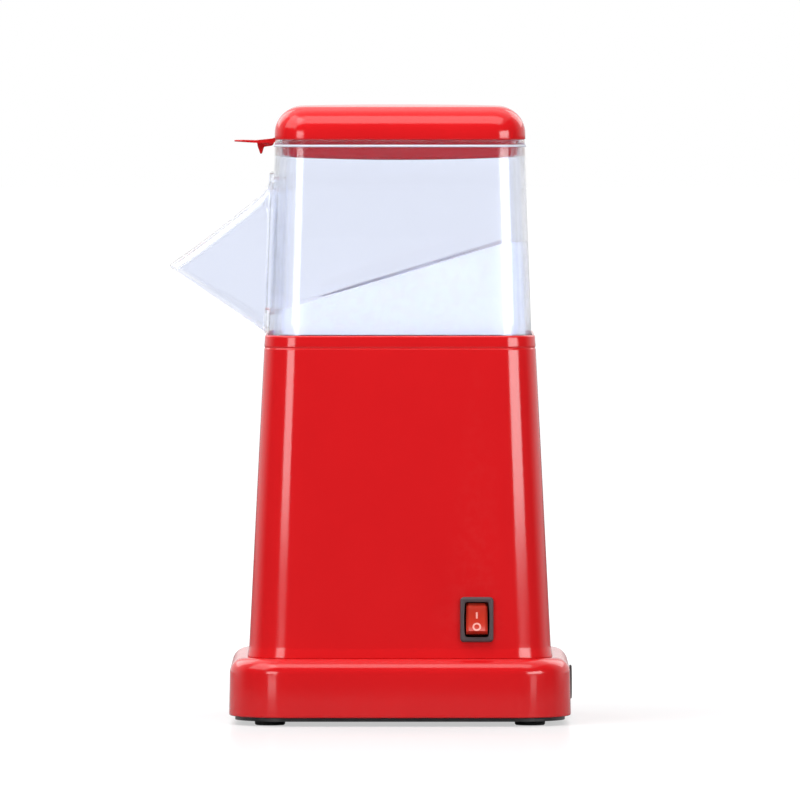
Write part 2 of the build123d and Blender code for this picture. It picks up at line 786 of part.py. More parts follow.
# ---------------------------------------------------------------- thermal fuse
fuse_place = on_circle(heater_radius + 2.1, 1, start=115.0)
with BuildPart() as thermal_fuse:
    rods(fuse_place, 128.0, 154.0, 0.5)
    rods(fuse_place, 135.0, 147.0, 2.0)
thermal_fuse.part.label = "thermal_fuse"
export_step(thermal_fuse.part, "parts/thermal_fuse.step")

# ---------------------------------------------------------------- fan duct with the motor spider
spider_low = motor_top
spider_top = motor_top + 3.0
motor_screw_places = [(-12.0, 0.0), (12.0, 0.0)]
spoke_width = 9.0
spoke_height = 3.0
with BuildPart() as fan_duct:
    rods(centre, duct_low, duct_top, duct_bore + wall)
    rods(centre, heater_low - 3.0, duct_top, ring_outer)
    rods(duct_posts, duct_low, duct_low + spoke_height, 5.0)
    with Locations((axis_x, 0, duct_low + spoke_height / 2)):
        Box(2 * duct_post_reach, spoke_width, spoke_height)
        Box(spoke_width, 2 * duct_post_reach, spoke_height)
    rods(centre, duct_low, duct_top, duct_bore, Mode.SUBTRACT)
    rods(centre, heater_low, duct_top, ring_inner, Mode.SUBTRACT)
    with Locations((axis_x, 0, (spider_low + spider_top) / 2)):
        Box(2 * duct_bore + 2, spoke_width, spider_top - spider_low)
        Box(spoke_width, 2 * duct_bore + 2, spider_top - spider_low)
    rods(centre, spider_low, spider_top, 20.0)
    rods(centre, spider_low, spider_top, 6.0, Mode.SUBTRACT)
    rods(motor_screw_places, spider_low, spider_top, clear_hole, Mode.SUBTRACT)
    rods(duct_posts, duct_low, duct_low + spoke_height, clear_hole, Mode.SUBTRACT)
fan_duct.part.label = "fan_duct"
export_step(fan_duct.part, "parts/fan_duct.step")

# ---------------------------------------------------------------- duct screws
with BuildPart() as duct_screws:
    screws_down(duct_posts, duct_low - 12.0, duct_low + spoke_height, duct_low + spoke_height + 2.0)
duct_screws.part.label = "duct_screws"
export_step(duct_screws.part, "parts/duct_screws.step")

# ---------------------------------------------------------------- motor can
can_sheet = 1.2
with BuildPart() as motor_can:
    rods(centre, can_low, motor_top, motor_radius)
    fillet(motor_can.faces().sort_by(Axis.Z)[-1].edges(), 2.0)
    rods(centre, can_low, motor_top - can_sheet, motor_radius - can_sheet, Mode.SUBTRACT)
    rods(centre, motor_top - can_sheet, motor_top, bearing_radius, Mode.SUBTRACT)
    rods(motor_screw_places, motor_top - can_sheet, motor_top, pilot_hole, Mode.SUBTRACT)
motor_can.part.label = "motor_can"
export_step(motor_can.part, "parts/motor_can.step")

# ---------------------------------------------------------------- motor end cap
brush_low = 19.5
brush_high = 22.5


def brush_places(reach, z):
    """The places of the two brushes, at the two sides of the shaft."""
    return [(axis_x - reach, 0, z), (axis_x + reach, 0, z)]


with BuildPart() as motor_end_cap:
    rods(centre, motor_low, can_low, motor_radius)
    chamfer(motor_end_cap.faces().sort_by(Axis.Z)[0].edges(), 1.0)
    with Locations(*brush_places(8.0, (can_low + brush_low) / 2)):
        Box(6.0, 6.0, brush_low - can_low)
    rods(centre, motor_low, can_low, bearing_radius, Mode.SUBTRACT)
motor_end_cap.part.label = "motor_end_cap"
export_step(motor_end_cap.part, "parts/motor_end_cap.step")

# ---------------------------------------------------------------- motor brushes
with BuildPart() as motor_brushes:
    with Locations(*brush_places(7.6, (brush_low + brush_high) / 2)):
        Box(6.8, 4.0, brush_high - brush_low)
motor_brushes.part.label = "motor_brushes"
export_step(motor_brushes.part, "parts/motor_brushes.step")

# ---------------------------------------------------------------- motor magnets
magnet_inner = 12.8
magnet_outer = motor_radius - can_sheet - 0.1
magnet_low = 24.0
magnet_high = 44.0
magnet_gap = 14.0
with BuildPart() as motor_magnets:
    rods(centre, magnet_low, magnet_high, magnet_outer)
    rods(centre, magnet_low, magnet_high, magnet_inner, Mode.SUBTRACT)
    with Locations((axis_x, 0, (magnet_low + magnet_high) / 2)):
        Box(magnet_gap, 2.4 * magnet_outer, magnet_high - magnet_low, mode=Mode.SUBTRACT)
motor_magnets.part.label = "motor_magnets"
export_step(motor_magnets.part, "parts/motor_magnets.step")

# ---------------------------------------------------------------- motor bearings
with BuildPart() as motor_bearings:
    rods(centre, motor_low, can_low, bearing_radius)
    rods(centre, motor_top - 4.0, motor_top, bearing_radius)
    rods(centre, motor_low, motor_top, bearing_bore, Mode.SUBTRACT)
motor_bearings.part.label = "motor_bearings"
export_step(motor_bearings.part, "parts/motor_bearings.step")

# ---------------------------------------------------------------- motor shaft
with BuildPart() as motor_shaft:
    rods(centre, motor_low - 1.5, impeller_top, shaft_radius)
    chamfer(motor_shaft.edges(), 0.3)
motor_shaft.part.label = "motor_shaft"
export_step(motor_shaft.part, "parts/motor_shaft.step")

# ---------------------------------------------------------------- armature
armature_low = 25.0
armature_high = 42.0
armature_radius = 12.0
winding_slots = 5
with BuildPart() as armature:
    rods(centre, armature_low, armature_high, armature_radius)
    with Locations((axis_x, 0, (armature_low + armature_high) / 2)):
        with PolarLocations(armature_radius - 2.5, winding_slots):
            Box(8.0, 3.0, armature_high - armature_low, mode=Mode.SUBTRACT)
    rods(centre, armature_low, armature_high, shaft_radius, Mode.SUBTRACT)
armature.part.label = "armature"
export_step(armature.part, "parts/armature.step")

# ---------------------------------------------------------------- commutator
commutator_low = 19.0
commutator_high = 23.5
commutator_radius = 4.0
with BuildPart() as commutator:
    rods(centre, commutator_low, commutator_high, commutator_radius)
    with Locations((axis_x, 0, (commutator_low + commutator_high) / 2)):
        with PolarLocations(commutator_radius, winding_slots):
            Box(1.0, 0.6, commutator_high - commutator_low, mode=Mode.SUBTRACT)
    rods(centre, commutator_low, commutator_high, shaft_radius, Mode.SUBTRACT)
commutator.part.label = "commutator"
export_step(commutator.part, "parts/commutator.step")

# ---------------------------------------------------------------- impeller
blade_count = 10
blade_inner = 14.0
blade_length = impeller_radius - blade_inner
blade_sheet = 1.6
blade_slant = 28.0
hub_radius = 6.0
with BuildPart() as impeller:
    rods(centre, impeller_low, impeller_low + 2.0, impeller_radius)
    rods(centre, impeller_low, impeller_top, hub_radius)
    with Locations((axis_x, 0, (impeller_low + impeller_top) / 2)):
        with PolarLocations(blade_inner + blade_length / 2 - 0.6, blade_count):
            Box(blade_length, blade_sheet, impeller_top - impeller_low, rotation=(0, 0, blade_slant))
    rods(centre, impeller_low, impeller_top, shaft_radius, Mode.SUBTRACT)
impeller.part.label = "impeller"
export_step(impeller.part, "parts/impeller.step")

# ---------------------------------------------------------------- motor screws
with BuildPart() as motor_screws:
    screws_down(motor_screw_places, motor_top - 4.0, spider_top, spider_top + 1.5)
motor_screws.part.label = "motor_screws"
export_step(motor_screws.part, "parts/motor_screws.step")

# ---------------------------------------------------------------- rectifier board
with BuildPart() as circuit_board:
    with Locations((axis_x + board_centre[0], board_centre[1], board_low + board_thickness / 2)):
        Box(board_size[0], board_size[1], board_thickness)
circuit_board.part.label = "circuit_board"
export_step(circuit_board.part, "parts/circuit_board.step")

# ---------------------------------------------------------------- rectifier diodes
board_top = board_low + board_thickness
diode_radius = 1.35
with BuildPart() as rectifier_diodes:
    for row in range(4):
        with Locations((axis_x - 55.0, 26.0 + 4.0 * row, board_top + diode_radius)):
            Cylinder(diode_radius, 5.2, rotation=(0, 90, 0))
rectifier_diodes.part.label = "rectifier_diodes"
export_step(rectifier_diodes.part, "parts/rectifier_diodes.step")

# ---------------------------------------------------------------- capacitor
with BuildPart() as capacitor:
    rods([(-42.0, 28.0)], board_top, board_top + 10.0, 4.0)
    fillet(capacitor.faces().sort_by(Axis.Z)[-1].edges(), 0.8)
capacitor.part.label = "capacitor"
export_step(capacitor.part, "parts/capacitor.step")
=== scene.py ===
"""A hot-air popcorn maker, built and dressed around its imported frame.

The frame's axes: +Z is up, the spout points along -X and the switch is on the -Y side. Shapes
are given in millimetres from the body's axis and the floor, the studio in metres. Round-cornered
walls are rings of points stacked along a profile.
"""

import logging
import math
from dataclasses import dataclass, field
from enum import Enum

import bmesh
import bpy
import numpy as np
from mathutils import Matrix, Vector


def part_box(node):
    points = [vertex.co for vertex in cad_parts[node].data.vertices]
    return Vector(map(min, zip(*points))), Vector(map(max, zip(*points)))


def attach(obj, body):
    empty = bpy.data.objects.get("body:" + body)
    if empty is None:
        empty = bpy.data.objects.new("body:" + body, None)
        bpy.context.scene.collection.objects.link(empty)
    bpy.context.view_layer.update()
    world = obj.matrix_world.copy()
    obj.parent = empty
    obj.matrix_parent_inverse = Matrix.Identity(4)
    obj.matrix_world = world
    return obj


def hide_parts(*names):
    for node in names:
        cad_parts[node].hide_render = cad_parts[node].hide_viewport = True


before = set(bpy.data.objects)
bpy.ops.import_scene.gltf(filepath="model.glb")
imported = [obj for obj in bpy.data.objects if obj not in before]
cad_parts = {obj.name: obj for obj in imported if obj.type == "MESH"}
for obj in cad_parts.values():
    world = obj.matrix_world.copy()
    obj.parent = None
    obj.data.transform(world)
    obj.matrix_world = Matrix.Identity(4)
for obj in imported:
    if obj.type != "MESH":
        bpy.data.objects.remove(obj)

MM = 0.001
OUTER = 40.0  # every wall with a window stands farther out than this, in millimetres
WHITE = (1, 1, 1, 1)
log = logging.getLogger("popcorn_maker")


class Wall(Enum):
    """The four upright sides of a rounded box, in the order a ring passes them."""

    FAR = 0
    FRONT = 1
    NEAR = 2
    REAR = 3


class Body(Enum):
    """The moving bodies of the frame that a piece can ride on."""

    ROOT = "root"
    HOUSING = "housing"
    HOOD = "hood"
    LID = "lid"
    ROCKER = "rocker"


# ------------------------------------------------------------------ shapes


@dataclass(frozen=True)
class Outline:
    """A rounded rectangle in millimetres: length along X, width along Y, corner radius."""

    length: float
    width: float
    corner: float


@dataclass(frozen=True)
class Window:
    """A round-cornered hole through one wall, in millimetres from the body axis and the floor."""

    wall: Wall
    middle: float
    half_width: float
    low: float
    high: float
    corner: float


@dataclass(frozen=True)
class Loop:
    """How the points of a ring are spread: along each corner's arc, and along each side.

    held gives, for a wall, its own places along that wall in millimetres, in ring order.
    """

    corner_steps: int = 12
    side_steps: int = 8
    held: dict[Wall, tuple[float, ...]] = field(default_factory=dict)

    def pattern(self) -> np.ndarray:
        """Gives one row per ring point: corner signs, corner direction, and held places.

        A point is sign * (half size - radius) + direction * radius on each axis. Along a side
        the sign runs evenly from one corner's to the next, unless the place itself is held.

        Returns:
            An array of six columns: sign x, sign y, direction x, direction y, held x, held y.
        """
        signs = np.array([(1, 1), (-1, 1), (-1, -1), (1, -1)], float)
        rows = []
        for index, wall in enumerate(Wall):
            turn = math.pi / 2 * index + np.linspace(0, math.pi / 2, self.corner_steps + 1)
            arc = np.full((len(turn), 6), np.nan)
            arc[:, :2] = signs[index]
            arc[:, 2] = np.cos(turn)
            arc[:, 3] = np.sin(turn)
            places = self.held.get(wall)
            count = len(places) if places else self.side_steps - 1
            side = np.full((count, 6), np.nan)
            share = np.linspace(0, 1, count + 2)[1:-1, None]
            side[:, :2] = signs[index] * (1 - share) + signs[(index + 1) % 4] * share
            side[:, 2:4] = (math.cos(turn[-1]), math.sin(turn[-1]))
            if places:
                side[:, 4 if wall in (Wall.FAR, Wall.NEAR) else 5] = places
            rows.extend((arc, side))
        return np.vstack(rows)

    def rings(self, half_x: np.ndarray, half_y: np.ndarray, corner: np.ndarray) -> np.ndarray:
        """Lays the pattern out on a stack of rounded rectangles.

        Args:
            half_x: half lengths, one per ring.
            half_y: half widths, one per ring.
            corner: corner radii, one per ring.

        Returns:
            Points as (ring, place, 2).
        """
        sign_x, sign_y, turn_x, turn_y, held_x, held_y = self.pattern().T
        radius = corner[:, None]
        x = sign_x * (half_x[:, None] - radius) + turn_x * radius
        y = sign_y * (half_y[:, None] - radius) + turn_y * radius
        x = np.where(np.isnan(held_x), x, held_x)
        y = np.where(np.isnan(held_y), y, held_y)
        return np.stack([x, y], axis=-1)


@dataclass(frozen=True)
class Skin:
    """The outside of a rounded box that narrows from a foot outline to a crown outline."""

    foot: Outline
    crown: Outline
    low: float
    high: float

    def rings(self, loop: Loop, path: np.ndarray, shrink: np.ndarray | None = None) -> np.ndarray:
        """Stacks one ring per path point.

        Each ring is the skin's outline at the point's height, moved inward by the point's inset,
        then scaled about the middle by its shrink.

        Args:
            loop: how each ring's points are spread.
            path: (inset, height) pairs in millimetres.
            shrink: 1 for a full ring down to 0 for a pole; all 1 if left out.

        Returns:
            Points as (ring, place, 3), in millimetres from the body axis.
        """
        inset, height = path.T
        share = (height - self.low) / (self.high - self.low)
        half_x = self._between(self.foot.length, self.crown.length, share) / 2 - inset
        half_y = self._between(self.foot.width, self.crown.width, share) / 2 - inset
        corner = np.maximum(self._between(self.foot.corner, self.crown.corner, share) - inset, 0.4)
        flat = loop.rings(half_x, half_y, corner)
        if shrink is not None:
            flat = flat * shrink[:, None, None]
        lift = np.broadcast_to(height[:, None, None], (*flat.shape[:2], 1))
        return np.concatenate([flat, lift], axis=-1)

    @staticmethod
    def _between(low: float, high: float, share: np.ndarray) -> np.ndarray:
        """Gives the value that lies share of the way from low to high."""
        return low + (high - low) * share


def rounded_path(
    corners: list[tuple[float, float, float]], steps: int = 6, closed: bool = False
) -> np.ndarray:
    """Turns a polyline into a path whose corners are arcs.

    At each corner the arc's centre lies on the bisector, radius / sin(half angle) away, and the
    arc is the spherical interpolation between its two touching points.

    Args:
        corners: (across, up, radius) for each corner.
        steps: pieces per arc.
        closed: whether the last corner joins the first.

    Returns:
        The path's points, without repeats.
    """
    table = np.array(corners, float)
    point, radius = table[:, :2], table[:, 2].copy()
    if not closed:
        radius[[0, -1]] = 0
    back = np.roll(point, 1, axis=0) - point
    ahead = np.roll(point, -1, axis=0) - point
    back /= np.linalg.norm(back, axis=1, keepdims=True)
    ahead /= np.linalg.norm(ahead, axis=1, keepdims=True)
    half = np.arccos(np.clip((back * ahead).sum(1), -0.999999, 0.999999)) / 2
    bisector = (back + ahead) / np.linalg.norm(back + ahead + 1e-12, axis=1, keepdims=True)
    centre = point + bisector * (radius / np.sin(half))[:, None]
    start = point + back * (radius / np.tan(half))[:, None] - centre
    end = point + ahead * (radius / np.tan(half))[:, None] - centre
    sweep = (math.pi - 2 * half)[:, None]
    share = np.linspace(0, 1, steps + 1)[None, :]
    weight_start = (np.sin((1 - share) * sweep) / np.sin(sweep))[..., None]
    weight_end = (np.sin(share * sweep) / np.sin(sweep))[..., None]
    arcs = centre[:, None] + weight_start * start[:, None] + weight_end * end[:, None]
    path = arcs.reshape(-1, 2)
    gap = np.linalg.norm(path - np.roll(path, 1, axis=0), axis=1)
    if not closed:
        gap[0] = 1
    return path[gap > 1e-7]


def with_levels(path: np.ndarray, levels: np.ndarray, closed: bool = False) -> np.ndarray:
    """Adds a point wherever a path crosses one of the given heights.

    Each crossing is found by its share of the way along its segment, and all points are then
    read off the path in order.

    Args:
        path: (inset, height) pairs.
        levels: heights.
        closed: whether the path's end joins its start.

    Returns:
        The path with the crossings added.
    """
    whole = np.vstack([path, path[:1]]) if closed else path
    rise = np.diff(whole[:, 1])
    with np.errstate(divide="ignore", invalid="ignore"):
        share = (levels[None, :] - whole[:-1, 1:2]) / rise[:, None]
    index = np.broadcast_to(np.arange(len(rise))[:, None], share.shape)
    inside = (share > 1e-6) & (share < 1 - 1e-6)
    places = np.unique(np.concatenate([np.arange(len(path)), (index + share)[inside]]))
    run = np.arange(len(whole))
    return np.column_stack([np.interp(places, run, whole[:, k]) for k in (0, 1)])


def smooth_line(points: list[tuple[float, float]], count: int) -> np.ndarray:
    """Carries a smooth line through points: a cubic whose slope at each point is its neighbours'.

    Args:
        points: the points that the line passes through.
        count: how many places to give along it.

    Returns:
        The places, as (count, 2).
    """
    knots = np.array(points, float)
    slope = np.gradient(knots, axis=0)
    place = np.linspace(0, len(knots) - 1, count)
    index = np.minimum(place.astype(int), len(knots) - 2)
    t = (place - index)[:, None]
    return (
        (2 * t**3 - 3 * t**2 + 1) * knots[index]
        + (t**3 - 2 * t**2 + t) * slope[index]
        + (3 * t**2 - 2 * t**3) * knots[index + 1]
        + (t**3 - t**2) * slope[index + 1]
    )


class Patchwork:
    """Grids of points, gathered in millimetres and joined into one closed mesh."""

    def __init__(self) -> None:
        """Starts with no patches."""
        self.points: list[np.ndarray] = []
        self.faces: list[list[int]] = []
        self.count = 0

    def grid(
        self,
        places: np.ndarray,
        wrap_rows: bool = False,
        wrap_columns: bool = False,
        keep: np.ndarray | None = None,
    ) -> None:
        """Adds a grid of four-sided faces.

        Args:
            places: points as (row, column, 3).
            wrap_rows: joins the last row to the first.
            wrap_columns: joins the last column to the first.
            keep: which faces to keep, as (row, column); all if left out.
        """
        rows, columns = places.shape[:2]
        index = np.arange(rows * columns).reshape(rows, columns) + self.count
        index = np.vstack([index, index[:1]]) if wrap_rows else index
        index = np.hstack([index, index[:, :1]]) if wrap_columns else index
        quads = np.stack([index[:-1, :-1], index[:-1, 1:], index[1:, 1:], index[1:, :-1]], axis=-1)
        chosen = quads.reshape(-1, 4) if keep is None else quads[keep]
        self.points.append(places.reshape(-1, 3))
        self.faces.extend(chosen.tolist())
        self.count += rows * columns

    @classmethod
    def sleeve(
        cls, places: np.ndarray, wrap_rows: bool = True, keep: np.ndarray | None = None
    ) -> "Patchwork":
        """Gives the patchwork of one stack of rings; its arguments are those of grid."""
        work = cls()
        work.grid(places, wrap_rows, True, keep)
        return work

    def prism(self, sections: np.ndarray) -> None:
        """Adds a solid from a row of like outlines, with a flat face at both ends.

        Args:
            sections: points as (section, place, 3).
        """
        first = self.count
        self.grid(sections, wrap_columns=True)
        rows, columns = sections.shape[:2]
        self.faces.append(list(range(first, first + columns))[::-1])
        self.faces.append(list(range(first + (rows - 1) * columns, first + rows * columns)))

    def mesh(
        self, name: str, sharp: float = 32.0, bridge: bool = False, sheet: bool = False
    ) -> bpy.types.Mesh:
        """Joins the patches, closes seams and poles, turns faces outward and shades them smooth.

        Args:
            name: the mesh's name.
            sharp: the angle in degrees past which an edge stays crisp.
            bridge: joins the rims of a hole's outer and inner edge.
            sheet: leaves a single open sheet as it is, for a wall thickness to be added.

        Returns:
            The mesh, in metres and in the frame's own place.
        """
        mesh = bpy.data.meshes.new(name)
        places = np.vstack(self.points) * MM + np.array([AXIS_X, 0, 0])
        mesh.from_pydata(places.tolist(), [], self.faces)
        work = bmesh.new()
        work.from_mesh(mesh)
        bmesh.ops.remove_doubles(work, verts=work.verts, dist=2e-7)
        bmesh.ops.dissolve_degenerate(work, edges=work.edges, dist=1e-8)
        if bridge:
            rims = [edge for edge in work.edges if len(edge.link_faces) == 1]
            bmesh.ops.bridge_loops(work, edges=rims)
        loose = [vert for vert in work.verts if not vert.link_faces]
        bmesh.ops.delete(work, geom=loose, context="VERTS")
        bmesh.ops.recalc_face_normals(work, faces=work.faces)
        for edge in work.edges:
            edge.smooth = len(edge.link_faces) != 2 or edge.calc_face_angle(0) < math.radians(sharp)
        for face in work.faces:
            face.smooth = True
        open_edges = sum(not edge.is_manifold for edge in work.edges)
        if open_edges and not sheet:
            log.warning("%s has %d open edges", name, open_edges)
        work.to_mesh(mesh)
        work.free()
        return mesh


def window_faces(places: np.ndarray, window: Window) -> np.ndarray:
    """Finds the faces of a closed sleeve of rings that lie outside a window.

    Args:
        places: the sleeve's points as (ring, place, 3).
        window: the hole.

    Returns:
        True for each face to keep, as (ring, place).
    """
    ahead = np.roll(places, -1, axis=0)
    middle = (places + ahead + np.roll(places, -1, axis=1) + np.roll(ahead, -1, axis=1)) / 4
    x, y, z = middle[..., 0], middle[..., 1], middle[..., 2]
    along, outward = {
        Wall.FAR: (x, y),
        Wall.NEAR: (x, -y),
        Wall.FRONT: (y, -x),
        Wall.REAR: (y, x),
    }[window.wall]
    inside = (abs(along - window.middle) < window.half_width) & (outward > OUTER)
    return ~(inside & (z > window.low) & (z < window.high))


def round_window(places: np.ndarray, window: Window) -> np.ndarray:
    """Moves the corners of a window's rim onto arcs.

    A point in a corner's square that lies outside its arc goes along the line from the arc's
    centre to the arc.

    Args:
        places: the sleeve's points as (ring, place, 3).
        window: the hole.

    Returns:
        The moved points.
    """
    axis = 0 if window.wall in (Wall.FAR, Wall.NEAR) else 1
    across = places[..., axis] - window.middle
    up = places[..., 2]
    middle = (window.low + window.high) / 2
    centre_across = np.sign(across) * (window.half_width - window.corner)
    centre_up = middle + np.sign(up - middle) * ((window.high - window.low) / 2 - window.corner)
    off_across, off_up = across - centre_across, up - centre_up
    reach = np.hypot(off_across, off_up)
    slack = 1e-6
    inside = (abs(across) < window.half_width + slack) & (up > window.low - slack)
    inside &= (up < window.high + slack) & (off_across * np.sign(across) > slack)
    inside &= (off_up * np.sign(up - middle) > slack) & (reach > window.corner)
    inside &= abs(places[..., 1 - axis]) > OUTER
    scale = np.where(inside, window.corner / np.maximum(reach, slack), 1)
    moved = places.copy()
    moved[..., axis] = np.where(inside, centre_across + off_across * scale, across) + window.middle
    moved[..., 2] = np.where(inside, centre_up + off_up * scale, up)
    return moved


def settle(
    name: str,
    work: Patchwork,
    body: Body,
    slot: str,
    material: bpy.types.Material,
    stands_for: tuple[str, ...] = (),
    **making: float,
) -> bpy.types.Object:
    """Puts a finished patchwork into the scene as a piece of the object.

    Args:
        name: the piece's name.
        work: its patches, in place.
        body: the body it moves with.
        slot: the record's material slot; not used.
        material: its finish.
        stands_for: the CAD nodes that it replaces.
        making: how the mesh is made, as Patchwork.mesh takes it.

    Returns:
        The new object.
    """
    mesh = work.mesh(name, **making)
    piece = bpy.data.objects.new(name, mesh)
    bpy.context.scene.collection.objects.link(piece)
    mesh.materials.append(material)
    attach(piece, body.value)
    if stands_for:
        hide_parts(*stands_for)
    log.info("%s rides on %s, %d faces", name, body.value, len(mesh.polygons))
    return piece


def crisp(piece: bpy.types.Object, width: float, angle: float = 40.0) -> None:
    """Rounds a piece's edges that turn by more than angle degrees, by width millimetres."""
    bevel = piece.modifiers.new("edge", "BEVEL")
    bevel.width = width * MM
    bevel.segments = 2
    bevel.limit_method = "ANGLE"
    bevel.angle_limit = math.radians(angle)
    bevel.harden_normals = True


def axis_of(node: str) -> float:
    """Gives the X of a node's middle."""
    low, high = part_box(node)
    return (low.x + high.x) / 2


AXIS_X = axis_of("motor_shaft")


# ------------------------------------------------------------------ finishes


Colour = tuple[float, float, float]
Feed = bpy.types.NodeSocket | float | tuple[float, ...]
DUST: Colour = (0.72, 0.7, 0.68)


class Recipe:
    """A node tree, with short ways to add nodes and feed them."""

    def __init__(self, tree: bpy.types.NodeTree) -> None:
        """Works on a tree that is already there."""
        self.tree = tree

    def node(
        self, kind: str, feeds: dict[str | int, Feed] | None = None, **settings: object
    ) -> bpy.types.Node:
        """Adds a node.

        Args:
            kind: the node's type.
            feeds: what its inputs take, by name or place: an output to link, or a plain value.
            settings: the node's own properties.

        Returns:
            The node.
        """
        made = self.tree.nodes.new(kind)
        for key, value in settings.items():
            setattr(made, key, value)
        self.feed(made, feeds or {})
        return made

    def feed(self, node: bpy.types.Node, feeds: dict[str | int, Feed]) -> None:
        """Links or sets a node's inputs."""
        for key, value in feeds.items():
            if isinstance(value, bpy.types.NodeSocket):
                self.tree.links.new(value, node.inputs[key])
            else:
                node.inputs[key].default_value = value

    def maths(
        self, operation: str, first: Feed, second: Feed, clamp: bool = False
    ) -> bpy.types.NodeSocket:
        """Adds one sum and gives its result."""
        feeds = {0: first, 1: second}
        return self.node("ShaderNodeMath", feeds, operation=operation, use_clamp=clamp).outputs[0]

    def spread(
        self, value: Feed, low: float, high: float, start: float = 0.0, end: float = 1.0,
        **settings: object,
    ) -> bpy.types.NodeSocket:
        """Maps a value from start..end to low..high."""
        feeds = {"Value": value, "From Min": start, "From Max": end, "To Min": low, "To Max": high}
        return self.node("ShaderNodeMapRange", feeds, **settings).outputs["Result"]


class Effect(Recipe):
    """A shared effect: a node group with a Place input, number inputs and number outputs."""

    def __init__(self, name: str, inputs: dict[str, float], outputs: tuple[str, ...]) -> None:
        """Makes the group with its input and output nodes.

        Args:
            name: the group's name.
            inputs: the number inputs and their usual values.
            outputs: the names of the number outputs.
        """
        group = bpy.data.node_groups.new(name, "ShaderNodeTree")
        group.interface.new_socket("Place", in_out="INPUT", socket_type="NodeSocketVector")
        for key, value in inputs.items():
            socket = group.interface.new_socket(key, in_out="INPUT", socket_type="NodeSocketFloat")
            socket.default_value = value
        for key in outputs:
            group.interface.new_socket(key, in_out="OUTPUT", socket_type="NodeSocketFloat")
        super().__init__(group)
        self.start = self.node("NodeGroupInput").outputs
        self.end = self.node("NodeGroupOutput")

    def noise(self, scale: Feed, detail: float, roughness: float = 0.5) -> bpy.types.NodeSocket:
        """Adds a noise, read at the effect's Place, with scale features per metre."""
        feeds = {"Vector": self.start["Place"], "Scale": scale, "Detail": detail}
        return self.node("ShaderNodeTexNoise", {**feeds, "Roughness": roughness}).outputs[0]

    def contrast(self, value: Feed, threshold: float, gain: float) -> bpy.types.NodeSocket:
        """Gives (value - threshold) * gain, kept within 0..1."""
        return self.maths("MULTIPLY", self.maths("SUBTRACT", value, threshold), gain, clamp=True)

    def mask(self, first: Feed, second: Feed) -> bpy.types.NodeTree:
        """Puts out the product of two masks and the effect's Amount, and gives the group."""
        both = self.maths("MULTIPLY", first, second)
        self.feed(self.end, {"Mask": self.maths("MULTIPLY", both, self.start["Amount"], clamp=True)})
        return self.tree


def grain_effect() -> bpy.types.NodeTree:
    """Makes the moulded-surface effect: a fine even grain, and broad cloudy variation."""
    effect = Effect("moulded_grain", {"Scale": 900.0, "Depth": 1.0}, ("Height", "Cloud"))
    fine = effect.noise(effect.start["Scale"], 3.0, 0.6)
    height = effect.maths("MULTIPLY", fine, effect.start["Depth"])
    effect.feed(effect.end, {"Height": height, "Cloud": effect.noise(26.0, 2.0)})
    return effect.tree


def wear_effect() -> bpy.types.NodeTree:
    """Makes the edge-wear effect: convex edges, broken up by noise."""
    effect = Effect("edge_wear", {"Scale": 240.0, "Amount": 0.5}, ("Mask",))
    pointed = effect.node("ShaderNodeNewGeometry").outputs["Pointiness"]
    broken = effect.noise(effect.start["Scale"], 4.0, 0.65)
    return effect.mask(effect.contrast(pointed, 0.52, 9.0), effect.contrast(broken, 0.42, 5.0))


def dust_effect() -> bpy.types.NodeTree:
    """Makes the settled-dust effect: faces that look up, mottled by noise."""
    effect = Effect("settled_dust", {"Scale": 420.0, "Amount": 0.3}, ("Mask",))
    facing = effect.node("ShaderNodeNewGeometry").outputs["Normal"]
    rise = effect.node("ShaderNodeSeparateXYZ", {0: facing}).outputs["Z"]
    upward = effect.maths("SUBTRACT", rise, 0.3, clamp=True)
    specks = effect.noise(effect.start["Scale"], 5.0, 0.7)
    return effect.mask(upward, effect.contrast(specks, 0.5, 4.0))


@dataclass(frozen=True)
class Effects:
    """The shared effects, each built once."""

    grain: bpy.types.NodeTree
    wear: bpy.types.NodeTree
    dust: bpy.types.NodeTree


@dataclass(frozen=True)
class Texture:
    """How the shared effects act on one finish.

    deep is the colour in the darker clouds. bump is the grain's strength and its depth in
    millimetres. rough is the lowest and the highest roughness, spread by the grain's output
    that rough_by names. worn shows on edges by the share wear; dust is a share too.
    """

    deep: Colour
    scale: float
    bump: tuple[float, float]
    rough: tuple[float, float]
    rough_by: str = "Cloud"
    wear: float = 0.0
    worn: Colour = (0.0, 0.0, 0.0)
    dust: float = 0.0


